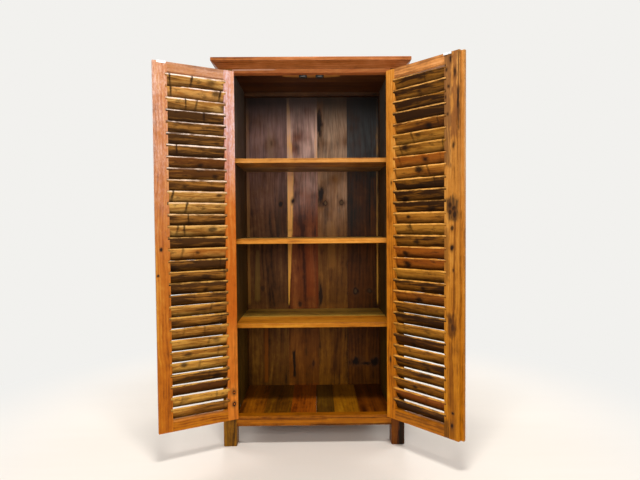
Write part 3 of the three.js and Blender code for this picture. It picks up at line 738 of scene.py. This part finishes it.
def build_stile_plugs(door, material):
    """Two old plugs in the hinge stile, one above the other."""
    mesh = bmesh.new()
    for height in PLUG_HEIGHTS:
        turned(mesh, door.at(PLUG_ALONG, door.inner, height), door.inward, PLUG_PROFILE, SMALL_ROUND_STEPS)
    made(f"{door.side}_stile_plugs", mesh, door.body, material)


def build_plank_tongues(material):
    """Loose tongues that close the joints between the back planks."""
    mesh = bmesh.new()
    for plank in (1, 2, 3):
        low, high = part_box(f"back_plank_{plank}")
        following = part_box(f"back_plank_{plank + 1}")[0]
        middle = (low.y + high.y) / 2
        bar(mesh, Vector((high.x, middle - TONGUE_THICKNESS / 2, low.z)), X * (following.x - high.x),
            Y * TONGUE_THICKNESS, Z * (high.z - low.z))
    made("back_plank_tongues", mesh, "carcass", material)


# Ironmongery

def build_leaf(door, place, height, part, body, out, deep):
    """One leaf of a hinge: out points from the axis to the wood that it is let into, deep along its face."""
    on_post = part == "post"
    mesh = bmesh.new()
    base = door.hinge + Z * (height - HINGE_LENGTH / 2)
    face = base + out * LEAF_NEAR
    front = KNUCKLE_RADIUS + LEAF_SETBACK
    bar(mesh, face + deep * front, out * LEAF_THICKNESS, deep * (LEAF_DEPTH - LEAF_SETBACK), Z * HINGE_LENGTH)
    each = HINGE_LENGTH / KNUCKLE_COUNT
    rim = KNUCKLE_RADIUS * KNUCKLE_RIM_SHARE
    for knuckle in range(0 if on_post else 1, KNUCKLE_COUNT, 2):
        low = knuckle * each + KNUCKLE_GAP / 2
        high = (knuckle + 1) * each - KNUCKLE_GAP / 2
        turned(mesh, base, Z, [
            (PIN_RADIUS, low), (rim, low), (KNUCKLE_RADIUS, low + KNUCKLE_EASE),
            (KNUCKLE_RADIUS, high - KNUCKLE_EASE), (rim, high), (PIN_RADIUS, high)])
        bar(mesh, face + Z * low, out * LEAF_THICKNESS, deep * (front + KNUCKLE_GAP), Z * (high - low))
    if on_post:
        tip, shoulder = PIN_RADIUS * PIN_EASE_SHARE, PIN_PROUD * PIN_EASE_SHARE
        turned(mesh, base, Z, [
            (tip, -PIN_PROUD), (PIN_RADIUS, -shoulder), (PIN_RADIUS, HINGE_LENGTH + shoulder),
            (tip, HINGE_LENGTH + PIN_PROUD)], SMALL_ROUND_STEPS)
    for share, depth in LEAF_SCREWS:
        screw_head(mesh, face + deep * (front + depth) + Z * (HINGE_LENGTH * share), -out, LEAF_SCREW_RADIUS)
    made(f"{door.side}_{place}_{part}_leaf", mesh, body, brass,
         [f"{door.side}_{place}_hinge_{part}_leaf"])


def build_knob(door, material):
    """A turned knob with a round head on a flared foot."""
    low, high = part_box(f"{door.side}_knob")
    middle = (low + high) / 2 - door.hinge
    mesh = bmesh.new()
    turned(mesh, door.at(middle.dot(door.along), door.outer, middle.z), -door.inward,
           [(radius * MM, distance * MM) for radius, distance in KNOB_PROFILE])
    made(f"{door.side}_turned_knob", mesh, door.body, material, [f"{door.side}_knob"],
         KNOB_CREASE)


def rounded_outline(low, high, inset, height):
    """A catch's outline between two corners, rounded and drawn in by an inset."""
    points = []
    centres = ((high.x, high.y, -1, -1), (low.x, high.y, 1, -1), (low.x, low.y, 1, 1), (high.x, low.y, -1, 1))
    for quarter, (x, y, to_x, to_y) in enumerate(centres):
        centre = Vector((x + to_x * CATCH_CORNER, y + to_y * CATCH_CORNER, height))
        for step in range(CORNER_STEPS + 1):
            angle = math.pi / 2 * (quarter + step / CORNER_STEPS)
            points.append(centre + (X * math.cos(angle) + Y * math.sin(angle)) * (CATCH_CORNER - inset))
    return points


def build_catch(side):
    """A magnetic catch: a rounded body under the catch board, its magnet turned to the strike plate."""
    low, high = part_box(f"{side}_catch")
    front = doors[side].hinge.y + doors[side].inner + STRIKE_CLEAR + STRIKE_THICKNESS + CATCH_GAP
    top = low.z + CATCH_SINK
    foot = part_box("catch_board")[0].z - CATCH_DROP
    near = Vector((low.x, front, foot))
    ease = CATCH_EDGE * 0.3
    mesh = bmesh.new()
    shell(mesh, [rounded_outline(near, high, inset, height) for inset, height in (
        (0, top), (0, foot + CATCH_EDGE), (ease, foot + ease), (CATCH_EDGE, foot))])
    made(f"{side}_catch_housing", mesh, "carcass", catch_iron, [f"{side}_catch"])
    mesh = bmesh.new()
    middle = (near + high) / 2
    for rise in POLE_RISES:
        bar(mesh, Vector((middle.x - MAGNET_LENGTH / 2, front - MAGNET_PROUD, foot + rise)),
            X * MAGNET_LENGTH, Y * (2 * MAGNET_PROUD), Z * POLE_HEIGHT)
    for end in (-1, 1):
        screw_head(mesh, Vector((middle.x + end * CATCH_SCREW_REACH, middle.y, foot)), -Z, CATCH_SCREW_RADIUS)
    made(f"{side}_catch_magnet", mesh, "carcass", magnet_steel)


def build_strike_plate(door):
    """A plate screwed on the door's top edge and bent down over its inner face, where it meets the magnet."""
    node = f"{door.side}_strike_plate"
    low, high = (corner.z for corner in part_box(node))
    start = door.reach(node) - STRIKE_SHIFT
    edge = door.inner - STRIKE_ON_DOOR
    near = door.inner + STRIKE_CLEAR
    face = near + STRIKE_THICKNESS
    foot = high - STRIKE_DROP
    section = [(edge, low), (near, low), (near, foot), (face, foot), (face, high - STRIKE_THICKNESS),
               (face - STRIKE_THICKNESS / 3, high - STRIKE_THICKNESS / 3), (face - STRIKE_THICKNESS, high),
               (edge, high)]
    mesh = bmesh.new()
    shell(mesh, [[door.at(along, inward, height) for inward, height in section]
                 for along in (start, start + STRIKE_LENGTH)])
    for end in (-1, 1):
        along = start + STRIKE_LENGTH / 2 + end * STRIKE_SCREW_REACH
        screw_head(mesh, door.at(along, door.inner - STRIKE_ON_DOOR / 2, high), Z, STRIKE_SCREW_RADIUS)
    made(f"{door.side}_bent_strike_plate", mesh, door.body, strike_steel_shine, [node])


# Timbers, with their dark, middle and light colours
DOOR_RAILS = {
    "left": {"top": ("#74461f", "#a66b38", "#bc8856"), "bottom": ("#864a18", "#b87834", "#d2a058")},
    "right": {"top": ("#8e5c34", "#ca8a52", "#e0a876"), "bottom": ("#7e4e28", "#b47640", "#cc9662")},
}
KNOB_WOOD = ("#5e2a12", "#9c5226", "#bc7038")
REAR_POST = ("#281810", "#4a3020", "#644630")
SIDE_PANEL = ("#241e1a", "#4a3e36", "#685a4e")
RAIL = ("#64380e", "#965e1e", "#b07a3a")
TOP_RAIL = ("#84401e", "#b46a38", "#c88450")
CORNICE = ("#66340f", "#98592c", "#b6744a")
CATCH_BOARD = ("#5e3a14", "#8a5c22", "#a87838")
SHELF_FRONTS = {
    "upper": ("#804c1c", "#ba803c", "#d69e60"),
    "middle": ("#88501c", "#c6863c", "#e0a664"),
    "lower": ("#7a4816", "#b07432", "#cc9656"),
}
SHELF_REAR = ("#745c42", "#ba9e7a", "#d2ba96")
TOP_BOARD = ("#2c1408", "#4c2a12", "#664220")
FLOOR_PLANKS = {
    1: ("#4c2810", "#845022", "#a66c36"),
    2: ("#2c1a0e", "#5c3a20", "#84602e"),
    3: ("#542410", "#8c4c28", "#ac6a3c"),
    4: ("#2a1c14", "#50382a", "#6c523a"),
    5: ("#5c3a12", "#8c6028", "#a87c40"),
    6: ("#301408", "#5e3218", "#7c4826"),
}
SLATS = {
    "left": dict(timber=("#4a2e10", "#9e6c30", "#dcae66"), low_edge_highlight="#d6a868", high_edge_highlight="#f6e4e2",
                 bar_share=0.9, knot_share=0.8),
    "right": dict(timber=("#341d08", "#8a5a1c", "#bc8636"), low_edge_highlight="#e6ac62", high_edge_highlight="#e6ac62",
                  bar_share=0.6, knot_share=0.95),
}
SAPWOOD = "#fcc484"
CHARRED = "#120c09"
PINK_SHEEN = "#ecd0c8"
WHITE_SHEEN = "#ecdee0"

# Tones that come with height, in rows that follow the fields of Bloom. The left door is painted paler towards
# its top, a painted sheen.
DOOR_RAIL_BLOOMS = {"left": [(PINK_SHEEN, 1.2, 1.7, 0.35, 0.5)], "right": []}
# Painted shadow under the top, over the upper ends of the back planks
SHADE_UNDER_TOP = ("#0e0704", 1.49, 1.725, 0.97, 0, 0.9)
# A painted sheen: the side panels turn grey towards their top
PANEL_BLOOM = ("#848280", 1.3, 1.5, 0.38, 0)
# Painted shade on the shelves' undersides: this dark tone comes in over their lowest two millimetres.
UNDERSIDE_SHADE = "#462204"
UNDERSIDE_FADE = (2 * MM, 0.5 * MM)

# Boards with marks of their own, in rows that follow the fields of Knot, Streak and Bloom. The back planks
# are painted paler towards the top, a painted sheen, and darker again under the top, a painted shadow. Their
# marks are measured along the height and across x.
BACK_PLANKS = {
    1: dict(
        timber=("#342018", "#664436", "#906a58"), blooms=[("#b4908a", 1.05, 1.5, 0.75, 0), SHADE_UNDER_TOP],
        knots=[(1158, -153, 18, 12), (1490, -200, 20, 8, 0.5), (690, -260, 20, 12, 0.6)],
        streaks=[
            # The first row is painted shade over the compartment between the lower and middle shelves
            (950, -240, 600, -240, 140, 140, "#24140c", 0.22),
            (1750, -338, 600, -336, 12, 10, "#9c7450", 0.8),
            (1600, -215, 1400, -205, 12, 20, "#a88a7c", 0.5, 2),
            (1320, -150, 980, -165, 10, 16, "#30201a", 0.7), (1740, -145, 600, -140, 16, 8, "#4a2a1e", 0.5),
            (900, -285, 620, -290, 10, 16, "#8a7454", 0.5, 2),
            (550, -240, 160, -245, 10, 10, "#9a5a1e", 0.6)]),
    2: dict(
        timber=("#3e1e16", "#7a4430", "#a06650"), blooms=[("#f8d0c2", 1.03, 1.45, 0.95, 0), SHADE_UNDER_TOP],
        knots=[(1174, -86, 17, 10), (600, -53, 16, 12, 0.7), (265, 20, 20, 10, 0.7)],
        streaks=[
            # The first row is painted shade over the bottom compartment
            (550, -30, 150, -30, 120, 120, "#4a4220", 0.3), (1750, -109, 1320, -102, 6, 20, SAPWOOD),
            (1320, -102, 1010, -106, 20, 15, SAPWOOD), (1010, -106, 600, -115, 15, 4, SAPWOOD),
            (1680, 47, 1400, 42, 4, 11, SAPWOOD, 0.95, 1.8), (1380, 46, 600, 46, 6, 6, "#7a3a1c", 0.7),
            (1700, -30, 1400, -20, 14, 20, "#5c3a3a", 0.7, 2), (920, 0, 640, 10, 20, 24, "#8a4426", 0.6),
            (340, -88, 190, -86, 9, 7, CHARRED, 0.95, 2)]),
    3: dict(
        timber=("#40281a", "#7a5232", "#9c704a"), blooms=[("#e4c0a0", 0.9, 1.4, 0.7, 0), SHADE_UNDER_TOP],
        knots=[
            (1205, 70, 55, 24), (1595, 62, 85, 22), (650, 62, 70, 13, 0.9), (1161, 91, 18, 17, 1, 0.5),
            (1161, 183, 19, 18, 1, 0.4)],
        streaks=[
            # The first row is painted shade over the compartment between the lower and middle shelves
            (950, 130, 600, 130, 130, 130, "#24140c", 0.22), (1720, 62, 1400, 56, 6, 5, CHARRED, 0.95, 2),
            (1270, 56, 1140, 70, 3, 16, CHARRED, 0.95), (1750, 200, 1400, 200, 20, 12, "#6c4630", 0.5, 2),
            (1060, 120, 800, 130, 20, 20, "#9a7048", 0.6), (450, 160, 200, 150, 20, 30, "#4c2a10", 0.6, 2)]),
    4: dict(
        timber=("#28170c", "#502e18", "#704628"),
        blooms=[("#202220", 0.9, 1.1, 0.85, 0), ("#5c6062", 1.2, 1.45, 0.85, 0), SHADE_UNDER_TOP],
        knots=[
            (670, 260.5, 22, 19, 1, 0.3), (670, 335, 18, 22, 0.7, 0.15), (262, 316, 11, 66),
            (274, 254, 27, 38), (269, 366, 30, 27)],
        streaks=[
            # The first row is a faint painted light over the compartment between the lower and middle shelves
            (950, 300, 600, 300, 140, 140, "#8a5226", 0.1), (1300, 362, 980, 360, 14, 18, "#7a4826", 0.7),
            (1750, 381, 600, 381, 6, 4, "#e4b06c", 0.85, 0.6)]),
}
# The stiles' marks are measured along the height and across the door from its hinge axis.
LEFT_MEETING_STILE = dict(
    # The left meeting stile takes a painted sheen towards its top
    timber=("#80461c", "#b26c34", "#ca945c"), blooms=[(PINK_SHEEN, 0.85, 1.5, 0.55, 0.65)],
    knots=[(939.4, 331.5, 8, 6), (829.5, 345, 6, 5)],
    streaks=[(1600, 318, 900, 324, 4, 3, "#a05a30", 0.5)])
RIGHT_MEETING_STILE = dict(
    timber=("#784a20", "#b67c3e", "#cc985c"),
    knots=[
        (1710, 330, 22, 7, 0.9), (1655, 350, 20, 7, 0.8), (1740, 310, 12, 6, 0.8), (1670, 313, 10, 6, 0.8),
        (1600, 322, 10, 7, 0.8), (1560, 309, 12, 5, 0.8), (1490, 318, 10, 6, 0.7), (1360, 345, 16, 7, 0.8),
        (1555, 364.5, 45, 4, 0.9), (1118, 331, 16, 10, 0.85), (1104, 345, 14, 10, 0.85),
        (1088, 330, 12, 9, 0.8), (1078, 350, 16, 8, 0.85), (1024, 338.6, 10, 7, 0.8), (942, 338.6, 15, 10),
        (850, 345, 10, 5, 0.7), (640, 332, 16, 8, 0.6), (615, 342, 16, 9, 0.6), (257, 341.7, 6, 6),
        (205, 339.5, 17, 9)],
    streaks=[
        (1790, 314, 1280, 314, 26, 14, "#6e4a30", 0.85, 4), (1750, 352, 1400, 348, 8, 12, "#7a4c2c", 0.8, 4),
        (1740, 366, 1420, 366, 4, 3, "#3c2414", 0.7), (1150, 338, 1050, 342, 26, 24, "#4c3626", 0.95, 4),
        (1020, 312, 800, 314, 12, 10, "#7a5230", 0.7, 4), (1050, 352, 620, 344, 5, 4, "#6e3c18", 0.7),
        (670, 334, 575, 338, 22, 18, "#54301a", 0.85, 4), (550, 330, 150, 345, 8, 12, "#7a4a26", 0.6),
        (220, 312, 100, 314, 14, 14, "#5c3a20", 0.8, 4)])
MEETING_STILES = {"left": LEFT_MEETING_STILE, "right": RIGHT_MEETING_STILE}
HINGE_STILES = {
    "left": dict(
        timber=("#82441a", "#b46224", "#ca864a"),
        # A painted sheen pales the left hinge stile towards its top; the second tone makes it more orange
        # towards its bottom
        blooms=[("#d8cede", 1.1, 1.5, 0.8, 0.55), ("#f09838", 0.85, 0.35, 0.5, 0)],
        knots=[(height / MM, PLUG_ALONG / MM, 15, 10.5) for height in PLUG_HEIGHTS]),
    "right": dict(
        timber=("#885018", "#be7a2c", "#d6a056"), knots=[(1230, 30, 12, 6, 0.8), (420, 22, 16, 6, 0.8)]),
}

# Painted shadow of the lower shelf: the rear half of the floor is darker than its front half.
SHADED_FLOOR = (300, 0, -11, 0, 300, 300, "#24140c", 0.32, 0.3)
BOTTOM_RAIL_STREAKS = [
    (-20, -19, 400, -20, 3, 4, "#241006", 0.75),
    (-360, 10, 60, 6, 2, 3, "#4c2408", 0.7),
    (40, 12, 360, 10, 3, 2, "#3c1c08", 0.7),
    (-300, -8, 100, -4, 4, 3, "#c07c34", 0.5)]
TOP_RAIL_SHEEN = (-420, 4, -170, 6, 3, 2, WHITE_SHEEN, 0.35, 0.4)
CATCH_BOARD_STREAK = (-130, -12, 130, -12, 12, 12, "#f0b060", 0.35)
PANEL_KNOTS = {"left": (), "right": ((1444, 142, 20, 12), (1111, 224, 16, 10))}
FRONT_POSTS = {
    "left": dict(timber=("#4c3418", "#8c6638", "#ac8a58"),
                 streaks=[(0, -12, 160, -16, 6, 3, "#4a3826", 0.5)]),
    "right": dict(timber=("#34190a", "#6a3c12", "#885420"),
                  streaks=[(-20, 18, 350, 24, 16, 10, CHARRED, 0.92, 2)]),
}


# Finishes on the frame's own pieces

WORLD_ORIGIN = Vector()
# What sets the figure of the tongues, plugs and knobs apart, and that of a door's two stiles
TONGUE_SEED, PLUG_SEED, KNOB_SEED = 2.2, 4.4, 8.1
HINGE_STILE_SHIFT = 3


def dress(node, material, worn=True):
    piece = nodes[node]
    for slot in piece.material_slots:
        slot.material = material
    if worn:
        soften(piece)


def middle_of(node):
    low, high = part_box(node)
    return (low + high) / 2


def number_of(name):
    """A steady number for a name, which sets one board's grain apart from another's."""
    return sum((place + 1) * ord(letter) for place, letter in enumerate(name)) % 997 / 61


def dress_board(node, along, across, timber, origin=None, worn=True, **marks):
    """A frame piece in teak of its own, with its grain along one axis."""
    grain = Grain(middle_of(node) if origin is None else origin, along, across)
    dress(node, teak(f"{node}_teak", grain, timber, number_of(node), **marks), worn)


def dress_sides():
    for side, looks in FRONT_POSTS.items():
        post = f"front_{side}_post"
        middle = middle_of(post)
        dress_board(post, Z, X, origin=Vector((middle.x, middle.y, 0)), worn=False, **looks)
        dress_board(f"rear_{side}_post", Z, X, REAR_POST, worn=False)
        dress_board(f"{side}_side_panel", Z, Y, SIDE_PANEL, WORLD_ORIGIN, worn=False, knots=PANEL_KNOTS[side],
                    blooms=[PANEL_BLOOM])
        for place in ("bottom", "top"):
            dress_board(f"{side}_{place}_rail", Y, Z, RAIL)
        dress_board(f"cornice_{side}", Y, Z, CORNICE)


def dress_front_and_rear():
    dress_board("bottom_front_rail", X, Z, RAIL, streaks=BOTTOM_RAIL_STREAKS)
    dress_board("top_front_rail", X, Z, TOP_RAIL, streaks=[TOP_RAIL_SHEEN])
    for place in ("bottom", "top"):
        dress_board(f"{place}_rear_rail", X, Z, REAR_POST)
    dress_board("cornice_front", X, Z, CORNICE)
    dress_board("catch_board", X, Y, CATCH_BOARD, streaks=[CATCH_BOARD_STREAK])
    for number, looks in BACK_PLANKS.items():
        dress_board(f"back_plank_{number}", Z, X, origin=WORLD_ORIGIN, figure=1.15, roughness=0.5, coat=0.0,
                    **looks)
    build_plank_tongues(teak("tongue_teak", Grain(WORLD_ORIGIN, Z, X), REAR_POST, TONGUE_SEED))


def dress_levels():
    """The top boards, the shelves and the floor."""
    for place in ("front", "rear"):
        dress_board(f"top_{place}_board", X, Y, TOP_BOARD)
        for level, front_timber in SHELF_FRONTS.items():
            board = f"{level}_shelf_{place}_board"
            foot, head = (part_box(board)[0].z + rise for rise in UNDERSIDE_FADE)
            dress_board(board, X, Y, front_timber if place == "front" else SHELF_REAR,
                        blooms=[(UNDERSIDE_SHADE, foot, head, 0.9, 0)])
    for number, timber in FLOOR_PLANKS.items():
        dress_board(f"floor_plank_{number}", Y, X, timber, streaks=[SHADED_FLOOR])


def dress_door(door):
    """A door's timber: two stiles, two rails, the slats and the knob."""
    side = door.side
    seed = number_of(side)
    dress(f"{side}_meeting_stile", teak(
        f"{side}_meeting_stile_teak", door.upright, seed=seed, **MEETING_STILES[side]), worn=False)
    build_hinge_stile(door, teak(
        f"{side}_hinge_stile_teak", door.upright, seed=seed + HINGE_STILE_SHIFT, **HINGE_STILES[side]))
    for rail, timber in DOOR_RAILS[side].items():
        dress(f"{side}_door_{rail}_rail", teak(
            f"{side}_door_{rail}_rail_teak", door.level, timber, number_of(side + rail),
            blooms=DOOR_RAIL_BLOOMS[side]))
    build_slats(door, slat_teak(f"{side}_slat_teak", door.slat_length, **SLATS[side]))
    build_knob(door, teak(f"{side}_knob_teak", door.level, KNOB_WOOD, KNOB_SEED, coat=0.4))


def hang_door(door):
    """A door's ironmongery, and what meets it on the cabinet."""
    build_strike_plate(door)
    build_catch(door.side)
    for place, height in hinge_heights(door).items():
        build_leaf(door, place, height, "door", door.body, door.along, door.inward)
        build_leaf(door, place, height, "post", "carcass", X * door.hand, Y)


build_stile_plugs(doors["left"], teak(
    "plug_teak", doors["left"].level, HINGE_STILES["left"]["timber"], PLUG_SEED))
dress_sides()
dress_front_and_rear()
dress_levels()
for door in doors.values():
    dress_door(door)
    hang_door(door)


# Stage, lights and camera

FLOOR_RADIUS = 6.0
FLOOR_STEPS = 96
FLOOR_DROP = 0.5 * MM
FLOOR_COLOUR = "#f2ece4"
FLOOR_BOARDS = "#e8ddd0"
FLOOR_FADE = (0.9, 2.2)
BACKDROP_COLOUR = "#f2f1ee"
AMBIENT_COLOUR = "#fbf6f0"
AMBIENT = 0.2

# A soft light: where it stands, the height on the cabinet's middle that it is turned to, and its make
Light = namedtuple("Light", "name place target width height power colour")
WARM = (1, 0.97, 0.93)
SOFT_WARM = (1, 0.98, 0.96)
LIGHTS = (
    Light("key", (0.1, -1.5, 3.7), 0.9, 0.8, 0.45, 80, WARM),
    Light("fill", (0.0, -2.9, 1.7), 0.8, 2.8, 1.1, 44, SOFT_WARM),
    Light("back_wash", (0.0, 3.4, 2.2), 0.9, 2.8, 1.2, 60, SOFT_WARM),
    Light("left_wash", (-3.2, 1.6, 2.0), 0.9, 1.6, 1.2, 45, SOFT_WARM),
    Light("right_wash", (3.2, 1.6, 2.0), 0.9, 1.6, 1.2, 45, SOFT_WARM),
)

CAMERA_PLACE = Vector((0.0386, -2.2837, 1.0424))
CAMERA_YAW, CAMERA_DOWN, CAMERA_ROLL = 0.0088, 0.0326, -0.0081
FOCAL_PIXELS = 475.1252
IMAGE_WIDTH = 640
SENSOR = 36


def backdrop_share(shader):
    """1 for rays that see the background itself: straight, in a shine or through something clear."""
    rays = [shader.node("ShaderNodeLightPath", output=name)
            for name in ("Is Camera Ray", "Is Glossy Ray", "Is Transmission Ray")]
    return rays[0].most(rays[1]).most(rays[2])


def floor_finish():
    """A pale floor that keeps shadows and fades into the background far from the cabinet."""
    shader = Shader(bpy.data.materials.new("pale_floor"))
    place = shader.place()
    x, y = shader.dot(place, X), shader.dot(place, Y)
    away = (x * x + y * y) ** 0.5
    boards = shader.noise((x * 2, y * 14, 0), 3)
    matt = shader.node("ShaderNodeBsdfPrincipled", inputs={
        "Base Color": shader.blend(boards * 0.3, FLOOR_COLOUR, FLOOR_BOARDS), "Roughness": 0.6})
    glow = shader.node("ShaderNodeEmission", inputs={"Color": BACKDROP_COLOUR})
    seen = shader.node("ShaderNodeMixShader", inputs={
        0: away.rise(*FLOOR_FADE) * backdrop_share(shader), 1: matt, 2: glow})
    shader.node("ShaderNodeOutputMaterial", inputs={"Surface": seen})
    return shader.owner


def build_floor():
    mesh = bmesh.new()
    rim = [(X * math.cos(angle) + Y * math.sin(angle)) * FLOOR_RADIUS for angle in round_steps(FLOOR_STEPS)]
    mesh.faces.new([mesh.verts.new(point - Z * FLOOR_DROP) for point in rim])
    in_scene("floor", mesh, floor_finish())


def build_world():
    world = bpy.data.worlds.new("studio")
    bpy.context.scene.world = world
    shader = Shader(world)
    seen = backdrop_share(shader)
    soft = shader.node("ShaderNodeBackground", inputs={"Color": AMBIENT_COLOUR, "Strength": AMBIENT})
    clear = shader.node("ShaderNodeBackground", inputs={"Color": BACKDROP_COLOUR, "Strength": 1})
    both = shader.node("ShaderNodeMixShader", inputs={0: seen, 1: soft, 2: clear})
    shader.node("ShaderNodeOutputWorld", inputs={"Surface": both})


def build_light(light):
    area = bpy.data.lights.new(light.name, "AREA")
    area.shape = "RECTANGLE"
    area.size, area.size_y = light.width, light.height
    area.energy = light.power
    area.color = light.colour
    lamp = bpy.data.objects.new(light.name, area)
    lamp.location = light.place
    lamp.rotation_euler = (Z * light.target - Vector(light.place)).to_track_quat("-Z", "Y").to_euler()
    lamp.visible_camera = False
    bpy.context.scene.collection.objects.link(lamp)


def build_camera():
    """A level camera that looks along +Y, then turned to the right, down and about its own axis."""
    turns = ((-CAMERA_YAW, "Z"), (math.pi / 2 - CAMERA_DOWN, "X"), (CAMERA_ROLL, "Z"))
    place = Matrix.Translation(CAMERA_PLACE)
    for angle, axis in turns:
        place = place @ Matrix.Rotation(angle, 4, axis)
    data = bpy.data.cameras.new("camera")
    data.sensor_width = SENSOR
    data.lens = FOCAL_PIXELS / IMAGE_WIDTH * SENSOR
    camera = bpy.data.objects.new("camera", data)
    camera.matrix_world = place
    bpy.context.scene.collection.objects.link(camera)
    bpy.context.scene.camera = camera


build_floor()
build_world()
for light in LIGHTS:
    build_light(light)
build_camera()
bpy.context.scene.view_settings.view_transform = "Standard"
